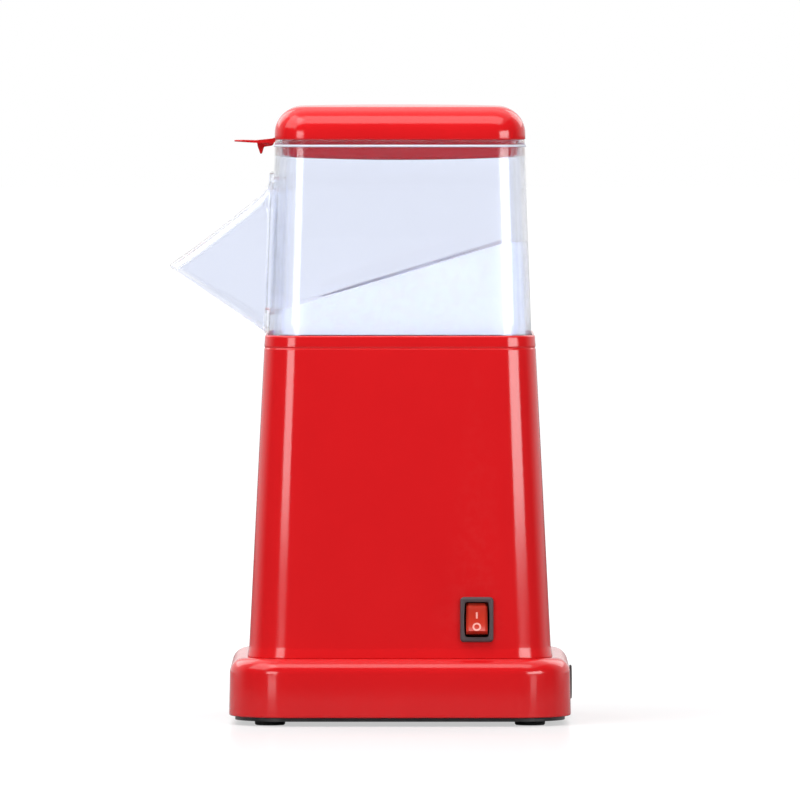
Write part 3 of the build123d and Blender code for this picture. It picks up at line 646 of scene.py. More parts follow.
class Surface(Recipe):
    """The node tree of one material, built round a Principled shader."""

    def __init__(self, name: str, constants: dict[str, Feed]) -> None:
        """Makes the material.

        Args:
            name: the material's name.
            constants: the shader's inputs that are the same all over.
        """
        self.material = bpy.data.materials.new(name)
        self.material.use_nodes = True
        super().__init__(self.material.node_tree)
        self.tree.nodes.clear()
        self.places = self.node("ShaderNodeTexCoord").outputs["Object"]
        self.shader = self.node("ShaderNodeBsdfPrincipled", constants)

    def effect(self, group: bpy.types.NodeTree, feeds: dict[str, float]) -> bpy.types.Node:
        """Places a shared effect, fed with the piece's own coordinates."""
        return self.node("ShaderNodeGroup", {"Place": self.places, **feeds}, node_tree=group)

    def blend(
        self, share: bpy.types.NodeSocket, low: Feed, high: Colour
    ) -> bpy.types.NodeSocket:
        """Mixes a colour, or an earlier mix, into another colour by a mask."""
        start = (*low, 1) if isinstance(low, tuple) else low
        feeds = {"Factor": share, "A": start, "B": (*high, 1)}
        return self.node("ShaderNodeMix", feeds, data_type="RGBA").outputs["Result"]

    def texture(self, effects: Effects, colour: Colour, texture: Texture) -> None:
        """Feeds the shader a cloudy, worn and dusty colour, its roughness and its grain.

        Args:
            effects: the shared effects.
            colour: the colour in the brighter clouds.
            texture: how the effects act.
        """
        grain = self.effect(effects.grain, {"Scale": texture.scale}).outputs
        mixed = self.blend(grain["Cloud"], texture.deep, colour)
        masks = ((effects.wear, texture.wear, texture.worn), (effects.dust, texture.dust, DUST))
        for group, amount, shown in masks:
            if amount:
                mask = self.effect(group, {"Amount": amount}).outputs["Mask"]
                mixed = self.blend(mask, mixed, shown)
        strength, depth = texture.bump
        feeds = {"Strength": strength, "Distance": depth * MM, "Height": grain["Height"]}
        bump = self.node("ShaderNodeBump", feeds).outputs[0]
        rough = self.spread(grain[texture.rough_by], *texture.rough)
        self.feed(self.shader, {"Base Color": mixed, "Roughness": rough, "Normal": bump})

    def finish(self, shown: bpy.types.NodeSocket | None = None) -> bpy.types.Material:
        """Puts out the shader, or what was mixed from it, and gives the material."""
        self.node("ShaderNodeOutputMaterial", {"Surface": shown or self.shader.outputs[0]})
        return self.material


@dataclass(frozen=True)
class Finish:
    """What every finish has: a name, a colour, and a recipe that its kind settles."""

    name: str
    colour: Colour

    def make(self, effects: Effects) -> bpy.types.Material:
        """Builds the material.

        Args:
            effects: the shared effects.

        Returns:
            The material.
        """
        surface = Surface(self.name, self.constants())
        surface.texture(effects, self.colour, self.texture())
        return surface.finish(self.shown(surface))

    def constants(self) -> dict[str, Feed]:
        """Gives the shader's inputs that are the same all over."""
        return {}

    def texture(self) -> Texture:
        """Says how the shared effects act on this finish."""
        raise NotImplementedError

    def shown(self, surface: Surface) -> bpy.types.NodeSocket:
        """Gives the shader that shows."""
        return surface.shader.outputs[0]

    @staticmethod
    def span(roughness: float, low: float, high: float) -> tuple[float, float]:
        """Gives the lowest and highest roughness, as shares of the usual one."""
        return roughness * low, roughness * high


@dataclass(frozen=True)
class Moulded(Finish):
    """Opaque moulded plastic or rubber: grain, cloudy colour, worn edges and a little dust."""

    deep: Colour
    worn: Colour
    roughness: float
    grain_scale: float = 900.0
    grain_depth: float = 0.04
    wear: float = 0.25
    dust: float = 0.06
    sheen: float = 0.0

    def constants(self) -> dict[str, Feed]:
        """Gives the sheen."""
        return {"Sheen Weight": self.sheen}

    def texture(self) -> Texture:
        """Says how the shared effects act on the plastic."""
        return Texture(
            self.deep, self.grain_scale, (0.25, self.grain_depth),
            self.span(self.roughness, 0.85, 1.2),
            wear=self.wear, worn=self.worn, dust=self.dust,
        )


@dataclass(frozen=True)
class Clear(Finish):
    """See-through moulded plastic with a hard gloss, which lets lamps shine through it."""

    roughness: float
    ior: float = 1.3
    haze: float = 0.06
    cover: float = 0.5

    def constants(self) -> dict[str, Feed]:
        """Gives the clear body and its gloss."""
        return {
            "Transmission Weight": 1.0, "IOR": self.ior, "Alpha": self.cover,
            "Coat Weight": 1.0, "Coat IOR": 1.6, "Coat Roughness": 0.05,
        }

    def texture(self) -> Texture:
        """Says how the shared effects act: long waves, and slightly darker clouds."""
        deep = tuple(c * (1 - self.haze) for c in self.colour)
        return Texture(deep, 60.0, (0.1, 0.02), self.span(self.roughness, 0.6, 1.4))

    def shown(self, surface: Surface) -> bpy.types.NodeSocket:
        """Mixes the shader with plain transparency for the rays that cast shadows."""
        tint = tuple(c**0.2 for c in self.colour)
        passing = surface.node("ShaderNodeBsdfTransparent", {"Color": (*tint, 1)}).outputs[0]
        shadow = surface.node("ShaderNodeLightPath").outputs["Is Shadow Ray"]
        feeds = {"Fac": shadow, 1: surface.shader.outputs[0], 2: passing}
        return surface.node("ShaderNodeMixShader", feeds).outputs[0]


@dataclass(frozen=True)
class Milky(Finish):
    """Half-clear plastic that scatters light inside its wall; its glow is painted light that stands in
    for some of it.
    """

    roughness: float
    transmission: float
    scatter: float
    glow: float

    def constants(self) -> dict[str, Feed]:
        """Gives the milky body: what passes, what scatters, and its faint glow, which is painted light.
        """
        return {
            "Transmission Weight": self.transmission, "Subsurface Weight": self.scatter,
            "Subsurface Radius": (4 * MM, 4 * MM, 5 * MM), "IOR": 1.45,
            "Emission Color": (*self.colour, 1), "Emission Strength": self.glow,
        }

    def texture(self) -> Texture:
        """Says how the shared effects act on the milky plastic."""
        deep = tuple(c * 0.96 for c in self.colour)
        rough = self.span(self.roughness, 0.8, 1.2)
        return Texture(deep, 500.0, (0.2, 0.05), rough, wear=0.5, worn=(0.8, 0.72, 0.68))


@dataclass(frozen=True)
class Metal(Finish):
    """Bare metal: drawn or turned marks, stained patches and rubbed edges."""

    stain: Colour
    roughness: float
    marks: float = 700.0
    wear: float = 0.5

    def constants(self) -> dict[str, Feed]:
        """Gives the metal."""
        return {"Metallic": 1.0}

    def texture(self) -> Texture:
        """Says how the shared effects act: the marks spread the roughness as well."""
        bright = tuple(min(1.0, c * 1.15) for c in self.colour)
        return Texture(
            self.stain, self.marks, (0.3, 0.03), self.span(self.roughness, 0.7, 1.4), "Height",
            wear=self.wear, worn=bright,
        )


FINISHES = {
    "red_plastic": Moulded(
        "glossy_red_plastic", (0.72, 0.0095, 0.0125), (0.66, 0.008, 0.011), (0.8, 0.16, 0.15), 0.13,
        grain_scale=1400.0, grain_depth=0.01, wear=0.12, dust=0.02,
    ),
    "clear_plastic": Clear("clear_blue_white_plastic", (0.78, 0.83, 0.98), 0.03),
    # the last value is the glow: painted light, an emission that brightens the ramp and the bead
    "milky_plastic": Milky("milky_ramp_plastic", (0.84, 0.875, 0.98), 0.3, 0.25, 0.45, 0.03),
    "black_plastic": Moulded(
        "black_plastic", (0.02, 0.02, 0.022), (0.012, 0.012, 0.014), (0.09, 0.09, 0.09), 0.42,
    ),
    "black_rubber": Moulded(
        "black_rubber", (0.016, 0.016, 0.017), (0.01, 0.01, 0.011), (0.06, 0.06, 0.06), 0.75,
        grain_scale=1600.0, grain_depth=0.08, sheen=0.1,
    ),
    "screw_steel": Metal("zinc_plated_steel", (0.66, 0.65, 0.62), (0.5, 0.48, 0.44), 0.3),
    "switch_grey": Moulded(
        "dark_grey_switch_plastic", (0.085, 0.055, 0.062), (0.062, 0.042, 0.048), (0.2, 0.19, 0.2),
        0.45, grain_scale=2200.0, grain_depth=0.06, wear=0.3,
    ),
    "switch_red": Moulded(
        "lit_red_rocker_plastic", (0.6, 0.036, 0.018), (0.54, 0.03, 0.015), (0.9, 0.3, 0.22), 0.2,
        grain_scale=1800.0, grain_depth=0.02, wear=0.15,
    ),
    "contact_brass": Metal("tinned_brass", (0.72, 0.55, 0.27), (0.55, 0.4, 0.2), 0.34),
    "lamp_glass": Clear("lamp_glass", (1.0, 0.85, 0.75), 0.02, 1.5, cover=1.0),
    "chamber_aluminium": Metal(
        "spun_aluminium", (0.78, 0.78, 0.77), (0.66, 0.64, 0.6), 0.3, marks=1100.0
    ),
    "heat_plastic": Moulded(
        "brown_heatproof_plastic", (0.09, 0.05, 0.03), (0.06, 0.035, 0.022), (0.2, 0.14, 0.1), 0.5,
    ),
    "heater_steel": Metal("galvanised_steel", (0.55, 0.55, 0.53), (0.4, 0.38, 0.34), 0.38),
    "mica_sheet": Moulded(
        "mica_sheet", (0.5, 0.42, 0.26), (0.36, 0.3, 0.18), (0.7, 0.62, 0.45), 0.4,
        grain_scale=300.0, grain_depth=0.1,
    ),
    "heating_wire": Metal("oxidised_resistance_wire", (0.3, 0.27, 0.25), (0.16, 0.13, 0.12), 0.45),
    "carbon": Moulded(
        "pressed_carbon", (0.03, 0.03, 0.03), (0.02, 0.02, 0.02), (0.12, 0.12, 0.12), 0.55
    ),
    "ferrite": Moulded(
        "grey_ferrite", (0.08, 0.08, 0.085), (0.05, 0.05, 0.055), (0.2, 0.2, 0.2), 0.6,
        grain_scale=600.0, grain_depth=0.1,
    ),
    "shaft_steel": Metal("ground_shaft_steel", (0.6, 0.6, 0.6), (0.5, 0.5, 0.5), 0.2),
    "board_laminate": Moulded(
        "brown_board_laminate", (0.3, 0.17, 0.06), (0.24, 0.13, 0.05), (0.5, 0.36, 0.2), 0.4
    ),
    # the last two belong to pieces that look different from the rest of their slot: the rocker's pale
    # marks, and the lid's plug, whose red is painted darker as painted shade
    "rocker_marks": Moulded(
        "pale_inlay", (0.95, 0.42, 0.36), (0.9, 0.38, 0.33), (0.95, 0.6, 0.55), 0.35, wear=0.1
    ),
    # painted shade: the plug is the lid's red plastic, painted darker for the shade it sits in under
    # the lid
    "lid_plug": Moulded(
        "painted_shade_red_plug_plastic", (0.42, 0.008, 0.013), (0.37, 0.007, 0.011), (0.6, 0.1, 0.1), 0.2,
        grain_scale=1400.0, grain_depth=0.01, wear=0.12, dust=0.02,
    ),
}


@dataclass(frozen=True)
class Palette:
    """The finished materials, by the record's slot name, and two by their piece's name."""

    materials: dict[str, bpy.types.Material]

    def of(self, slot: str) -> bpy.types.Material:
        """Gives the material of a slot."""
        return self.materials[slot]

    def dress_frame(self) -> None:
        """Gives every CAD node that still shows the finish of its slot."""
        for name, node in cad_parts.items():
            for place in node.material_slots:
                slot = place.material.name.split(".")[0]
                place.material = self.materials[slot]
            log.info("%s keeps its shape", name)


# ------------------------------------------------------------------ sub-assemblies


@dataclass
class Base:
    """The plinth and the tapered body that stands on it.

    The body's rim stands rim_rise above its skin, so that no gap shows at the housing's foot.
    """

    plinth: Skin = Skin(Outline(158, 150, 27), Outline(157, 149, 26.5), 4, 31)
    shell: Skin = Skin(Outline(140, 132, 20), Outline(125, 117, 17), 31, 179)
    wall: float = 2.5
    plinth_edge: float = 7.0
    ledge_reach: float = 12.6
    flare: float = 0.6
    groove: float = 0.3
    groove_height: float = 173.9
    rim_step: float = 1.35
    rim_rise: float = 0.7
    shelf_reach: float = 9.0
    shelf: tuple[float, float] = (170.0, 174.0)
    switch_hole: Window = Window(Wall.NEAR, 35.4, 6.6, 39.4, 58.6, 0.5)

    def plinth_path(self) -> np.ndarray:
        """The plinth's wall in section: foot, rounded shoulder, ledge and inside."""
        inner_roof = self.plinth.high - self.wall
        corners = [
            (self.wall, 4.0, 0.3),
            (0.0, 4.0, 0.8),
            (0.0, self.plinth.high, self.plinth_edge),
            (self.ledge_reach, self.plinth.high, 0.0),
            (self.ledge_reach, inner_roof, 0.0),
            (self.wall, inner_roof, self.plinth_edge - self.wall),
        ]
        return rounded_path(corners, 10, closed=True)

    def shell_path(self) -> np.ndarray:
        """The body's wall in section: flared foot, rim groove, rim, rebate and shelf."""
        shell, groove = self.shell, self.groove_height
        corners = [
            (self.wall, shell.low, 0.0),
            (-self.flare, shell.low, 0.35),
            (-self.flare * 0.8, shell.low + 1.2, 1.0),
            (0.0, shell.low + 4.6, 8.0),
            (0.0, groove - 0.7, 0.4),
            (self.groove, groove, 0.25),
            (0.0, groove + 0.7, 0.4),
            (0.0, shell.high + self.rim_rise, 0.9),
            (self.rim_step, shell.high + self.rim_rise, 0.3),
            (self.rim_step, self.shelf[1], 0.0),
            (self.shelf_reach, self.shelf[1], 0.0),
            (self.shelf_reach, self.shelf[0], 0.0),
            (self.wall, self.shelf[0], 0.0),
        ]
        return rounded_path(corners, 5, closed=True)

    def build(self, palette: Palette) -> None:
        """Builds both pieces.

        Args:
            palette: the finishes.
        """
        red = palette.of("red_plastic")
        plinth = Patchwork.sleeve(self.plinth.rings(Loop(16, 10), self.plinth_path()))
        settle("plinth", plinth, Body.ROOT, "red_plastic", red, ("base_plinth",))
        hole = self.switch_hole
        plain = (-36.0, -20.0, -4.0, 12.0)
        held = (hole.middle - hole.half_width, hole.middle, hole.middle + hole.half_width)
        loop = Loop(14, 8, {Wall.NEAR: plain + held})
        levels = np.array([hole.low, (hole.low + hole.high) / 2, hole.high])
        path = with_levels(self.shell_path(), levels, closed=True)
        places = self.shell.rings(loop, path)
        body = Patchwork.sleeve(places, keep=window_faces(places, hole))
        settle("body", body, Body.ROOT, "red_plastic", red, ("body_shell",), bridge=True)


@dataclass
class ClearTop:
    """The see-through housing with the mouth in its front wall."""

    skin: Skin = Skin(Outline(121.8, 113.8, 16.5), Outline(115.5, 107.5, 16.0), 174, 270)
    wall: float = 2.5
    # the bead is a pale milky strip round the wall's top edge: a painted highlight for the bright line
    # that edge catches
    bead: float = 0.45
    bead_low: float = 266.6
    bead_high: float = 267.7
    mouth: Window = Window(Wall.FRONT, 0.0, 36.4, 188.8, 252.9, 4.4)

    def path(self) -> np.ndarray:
        """The wall in section: foot, rounded lip and inside."""
        corners = [
            (0.0, self.skin.low, 0.4),
            (0.0, self.skin.high, 0.8),
            (self.wall, self.skin.high, 0.8),
            (self.wall, self.skin.low, 0.4),
        ]
        return rounded_path(corners, 5, closed=True)

    def highlight_bead_path(self) -> np.ndarray:
        """The bead in section, pale as a painted highlight of the wall's top edge: a bar rounded on the
        outside, let into the wall's face.
        """
        corners = [
            (0.3, self.bead_low, 0.1),
            (-self.bead, self.bead_low, 0.4),
            (-self.bead, self.bead_high, 0.4),
            (0.3, self.bead_high, 0.1),
        ]
        return rounded_path(corners, 5, closed=True)

    def build(self, palette: Palette) -> None:
        """Builds the housing and its bead, a pale strip that paints the highlight line along the wall's
        top edge.

        Args:
            palette: the finishes.
        """
        mouth = self.mouth
        near_corner = np.array([0.0, 0.6, 1.3, 2.2, 3.2, mouth.corner])
        half = np.concatenate([mouth.half_width - near_corner, [20.0, 7.0]])
        across = tuple(np.concatenate([half, -half[::-1]]))
        levels = np.concatenate([mouth.low + near_corner, [205, 220, 235], mouth.high - near_corner])
        path = with_levels(self.path(), levels, closed=True)
        places = self.skin.rings(Loop(14, 8, {Wall.FRONT: across}), path)
        keep = window_faces(places, mouth)
        wall = Patchwork.sleeve(round_window(places, mouth), keep=keep)
        clear, milky = palette.of("clear_plastic"), palette.of("milky_plastic")
        settle(
            "housing_wall", wall, Body.HOUSING, "clear_plastic", clear, ("clear_housing",),
            bridge=True,
        )
        # painted highlight: the bead takes the milky finish so that it shows as a pale line
        bead = Patchwork.sleeve(self.skin.rings(Loop(14, 8), self.highlight_bead_path()))
        settle("housing_highlight_bead", bead, Body.HOUSING, "clear_plastic", milky)


@dataclass
class Hood:
    """The clear spout hood: a rounded roof on side walls, and a flange with its collar.

    face_at_top is the X of the housing's leaning front at the height top; least_cosine keeps
    the arc's depth in bounds where the roof is steep.
    """

    roof_line: tuple[tuple[float, float], ...] = (
        (-106.7, 211.7), (-92.9, 221.5), (-80.0, 231.6), (-68.4, 241.0), (-62.6, 246.4),
        (-60.7, 249.6),
    )
    low_end: tuple[float, float] = (-62.6, 181.2)
    half_width: float = 39.0
    side_radius: float = 6.0
    wall: float = 2.2
    lean: float = 0.0328
    top: float = 270.0
    face_at_top: float = -57.75
    least_cosine: float = 0.35
    flange: Outline = Outline(83.0, 74.2, 6.0)
    flange_middle: float = 217.4
    collar: Outline = Outline(72.0, 63.3, 4.0)
    collar_middle: float = 220.85
    passage: Outline = Outline(68.4, 56.4, 2.2)
    passage_middle: float = 219.2
    collar_reach: float = 6.0
    flange_thickness: float = 2.0

    def sheet(self) -> np.ndarray:
        """The hood's outer surface as a grid: stations up the roof by places across it.

        At each station the roof drops into a side wall through an arc: depth under the roof is
        radius * (1 - cos) over the roof's slope, half width is reached at a quarter turn, and
        the wall then runs down to the straight lower edge. Depths are cut off at that edge.

        Returns:
            Points as (station, place, 3).
        """
        roof = smooth_line(list(self.roof_line), 41)
        share = np.linspace(0, 1, len(roof))[:, None]
        edge = np.array(self.roof_line[0]) * (1 - share) + np.array(self.low_end) * share
        drop = np.maximum(roof[:, 1] - edge[:, 1], 0.0)[:, None]
        slope = np.gradient(roof, axis=0)
        cosine = (slope[:, 0] / np.linalg.norm(slope, axis=1))[:, None]
        cosine = np.maximum(cosine, self.least_cosine)
        turn = np.linspace(0, math.pi / 2, 9)[None, :]
        arc_depth = np.minimum(self.side_radius * (1 - np.cos(turn)) / cosine, drop)
        run = np.linspace(0, 1, 13)[None, 1:]
        wall_depth = arc_depth[:, -1:] + (drop - arc_depth[:, -1:]) * run
        depth = np.hstack([arc_depth, wall_depth])
        left = np.maximum(self.side_radius - depth * cosine, 0.0)
        across = self.half_width - self.side_radius + np.sqrt(
            np.maximum(self.side_radius**2 - left**2, 0.0)
        )
        flat = np.linspace(-1, 1, 9)[None, 1:-1] * (self.half_width - self.side_radius)
        flat = np.broadcast_to(flat, (len(roof), flat.shape[1]))
        y = np.hstack([-across[:, ::-1], flat, across])
        fall = np.hstack([depth[:, ::-1], np.zeros_like(flat), depth])
        z = roof[:, 1:] - fall
        down = fall / np.maximum(drop, 1e-6)
        x = roof[:, :1] + (edge[:, :1] - roof[:, :1]) * down
        return np.stack([x, y, z], axis=-1)

    def flange_rings(self) -> np.ndarray:
        """Rings of the flange and collar, in the housing's leaning front plane.

        Each ring is a rounded rectangle across Y and up the plane, set off along the plane's
        outward normal: front face, outer edge, back face, collar outside, collar lip, passage.

        Returns:
            Points as (ring, place, 3).
        """
        front, seat, deep = self.flange_thickness + 0.2, 0.2, 0.2 - self.collar_reach
        rows = [
            (self.passage, self.passage_middle, 0.0, front),
            (self.flange, self.flange_middle, 0.5, front),
            (self.flange, self.flange_middle, 0.15, front - 0.15),
            (self.flange, self.flange_middle, 0.0, front - 0.5),
            (self.flange, self.flange_middle, 0.0, seat + 0.3),
            (self.flange, self.flange_middle, 0.3, seat),
            (self.collar, self.collar_middle, 0.0, seat),
            (self.collar, self.collar_middle, 0.0, deep + 0.4),
            (self.collar, self.collar_middle, 0.4, deep),
            (self.collar, self.collar_middle, 1.6, deep),
            (self.passage, self.passage_middle, 0.0, deep + 0.3),
        ]
        half_y = np.array([o.length / 2 - inset for o, _, inset, _ in rows])
        half_up = np.array([o.width / 2 - inset for o, _, inset, _ in rows])
        corner = np.array([max(o.corner - inset, 0.4) for o, _, inset, _ in rows])
        middle = np.array([m for _, m, _, _ in rows])[:, None]
        offset = np.array([w for *_, w in rows])[:, None]
        flat = Loop(8, 6).rings(half_y, half_up, corner)
        z = flat[..., 1] + middle + offset * self.lean
        x = self.face_at_top - (self.top - z) * self.lean - offset
        return np.stack([x, flat[..., 0], z], axis=-1)

    def build(self, palette: Palette) -> None:
        """Builds the hood and its flange.

        Args:
            palette: the finishes.
        """
        clear = palette.of("clear_plastic")
        work = Patchwork()
        work.grid(self.sheet())
        roof = settle(
            "hood_roof", work, Body.HOOD, "clear_plastic", clear, ("spout_hood",), sheet=True
        )
        thickness = roof.modifiers.new("wall", "SOLIDIFY")
        thickness.thickness = self.wall * MM
        thickness.offset = -1.0
        thickness.use_even_offset = False
        highest = max(roof.data.polygons, key=lambda face: face.center.z - abs(face.center.y))
        if highest.normal.z < 0:
            roof.data.flip_normals()
        flange = Patchwork.sleeve(self.flange_rings())
        settle("hood_flange", flange, Body.HOOD, "clear_plastic", clear)


@dataclass
class Lid:
    """The domed lid, its tab with two claws, and the plug that fits inside the housing."""

    skin: Skin = Skin(Outline(116, 108, 16.2), Outline(116, 108, 16.2), 270, 286)
    edge: float = 12.6
    crown: float = 0.7
    wall: float = 2.4
    plug: Skin = Skin(Outline(108.4, 100.4, 12.6), Outline(109.6, 101.6, 13.2), 260.6, 271.6)
    plug_wall: float = 1.8
    plug_bow: float = 1.3
    bow_top: float = 268.0
    tab_half_width: float = 11.0
    tab_corner: float = 4.0
    tab_root: float = -62.0
    tab_reach: float = 15.2
    claw_places: tuple[float, ...] = (-7.0, 7.0)

    def dome(self) -> np.ndarray:
        """Rings from the middle of the lid's top, round its edge and back under its roof."""
        low, shoulder = self.skin.low, self.skin.high - self.crown
        corners = [
            (self.edge, shoulder, 0.0),
            (0.0, shoulder, self.edge - 0.05),
            (0.0, low, 0.6),
            (self.wall, low, 0.3),
            (self.wall, shoulder - self.wall, self.edge - self.wall - 0.05),
            (self.edge, shoulder - self.wall, 0.0),
        ]
        path = rounded_path(corners, 14)
        return self._with_poles(self.skin, path, self.crown)

    def plug_cup(self) -> np.ndarray:
        """Rings of the plug: a cup whose foot bows down between its ends, with a flange on top."""
        skin, wall = self.plug, self.plug_wall
        corners = [
            (6.0, skin.low, 0.0),
            (0.0, skin.low, 2.0),
            (0.0, 269.9, 0.2),
            (-0.6, 270.1, 0.2),
            (-0.6, skin.high, 0.4),
            (wall, skin.high, 0.4),
            (wall, skin.low + wall, 0.8),
            (6.0, skin.low + wall, 0.0),
        ]
        path = with_levels(rounded_path(corners, 5), np.array([263.0, 265.0, 267.0]))
        places = self._with_poles(skin, path, 0.0)
        fade = np.clip((self.bow_top - places[..., 2]) / (self.bow_top - skin.low), 0, 1)
        places[..., 2] += self.plug_bow * (places[..., 0] / (skin.foot.length / 2)) ** 2 * fade
        return places

    @staticmethod
    def _with_poles(skin: Skin, path: np.ndarray, crown: float) -> np.ndarray:
        """Stacks rings along a path and closes both ends with rings that shrink to a point.

        Between the path's end and the pole the height rises by crown * (1 - share squared).

        Args:
            skin: the outline that the path follows.
            path: (inset, height) pairs.
            crown: how far the poles stand above the path's ends.

        Returns:
            Points as (ring, place, 3).
        """
        share = np.linspace(0, 1, 10)[:-1]
        first = np.tile(path[0], (len(share), 1))
        last = np.tile(path[-1], (len(share), 1))
        rings = skin.rings(
            Loop(14, 10),
            np.vstack([first, path, last]),
            np.concatenate([share, np.ones(len(path)), share[::-1]]),
        )
        rise = crown * (1 - share**2)
        rings[: len(share), :, 2] += rise[:, None]
        rings[-len(share) :, :, 2] += rise[::-1, None]
        return rings

    def tab_sections(self) -> np.ndarray:
        """The tab's upright section, repeated across Y; its free end is rounded in plan."""
        corners = [
            (-77.2, 269.55, 0.3), (-76.9, 268.75, 0.3), (-68.0, 268.2, 6.0), (-59.0, 268.0, 0.6),
            (-56.2, 269.9, 0.0), (-56.2, 271.4, 0.0), (-59.5, 270.2, 2.0), (-68.0, 269.4, 6.0),
        ]
        path = rounded_path(corners, 4, closed=True)
        across = np.sin(np.linspace(-math.pi / 2, math.pi / 2, 25)) * self.tab_half_width
        reach = np.maximum(abs(across) - (self.tab_half_width - self.tab_corner), 0)
        pull = self.tab_corner - np.sqrt(np.maximum(self.tab_corner**2 - reach**2, 0.0))
        weight = np.clip((self.tab_root - path[:, 0]) / self.tab_reach, 0, 1)
        x = path[None, :, 0] + pull[:, None] * weight[None, :]
        y = np.broadcast_to(across[:, None], x.shape)
        z = np.broadcast_to(path[None, :, 1], x.shape)
        return np.stack([x, y, z], axis=-1)

    @staticmethod
    def claw_sections(middle: float) -> np.ndarray:
        """One claw's section, thinner at both faces.

        Args:
            middle: the claw's place across the tab.

        Returns:
            Points as (section, place, 3).
        """
        corners = [
            (-66.5, 268.9, 0.2), (-66.2, 266.6, 1.5), (-64.9, 263.0, 0.3), (-64.2, 263.2, 0.3),
            (-63.3, 266.3, 0.8), (-59.0, 266.9, 1.2), (-58.6, 268.9, 0.0),
        ]
        path = rounded_path(corners, 4, closed=True)
        heart = path.mean(axis=0)
        offset = np.array([-0.9, -0.75, 0.75, 0.9])
        size = np.array([0.94, 1.0, 1.0, 0.94])
        flat = heart + (path[None] - heart) * size[:, None, None]
        y = np.broadcast_to((middle + offset)[:, None], flat.shape[:2])
        return np.stack([flat[..., 0], y, flat[..., 1]], axis=-1)

    def build(self, palette: Palette) -> None:
        """Builds the lid, its tab and its plug.

        Args:
            palette: the finishes.
        """
        red = palette.of("red_plastic")
        dome = Patchwork.sleeve(self.dome(), wrap_rows=False)
        settle("lid_dome", dome, Body.LID, "red_plastic", red, ("lid",))
        tab = Patchwork()
        tab.prism(self.tab_sections())
        for middle in self.claw_places:
            tab.prism(self.claw_sections(middle))
        settle("lid_tab", tab, Body.LID, "red_plastic", red)
        plug = Patchwork.sleeve(self.plug_cup(), wrap_rows=False)
        # painted shade: the plug's finish is the lid's red painted darker
        shaded = palette.of("lid_plug")
        settle("lid_plug_cup", plug, Body.LID, "red_plastic", shaded, ("lid_plug",))


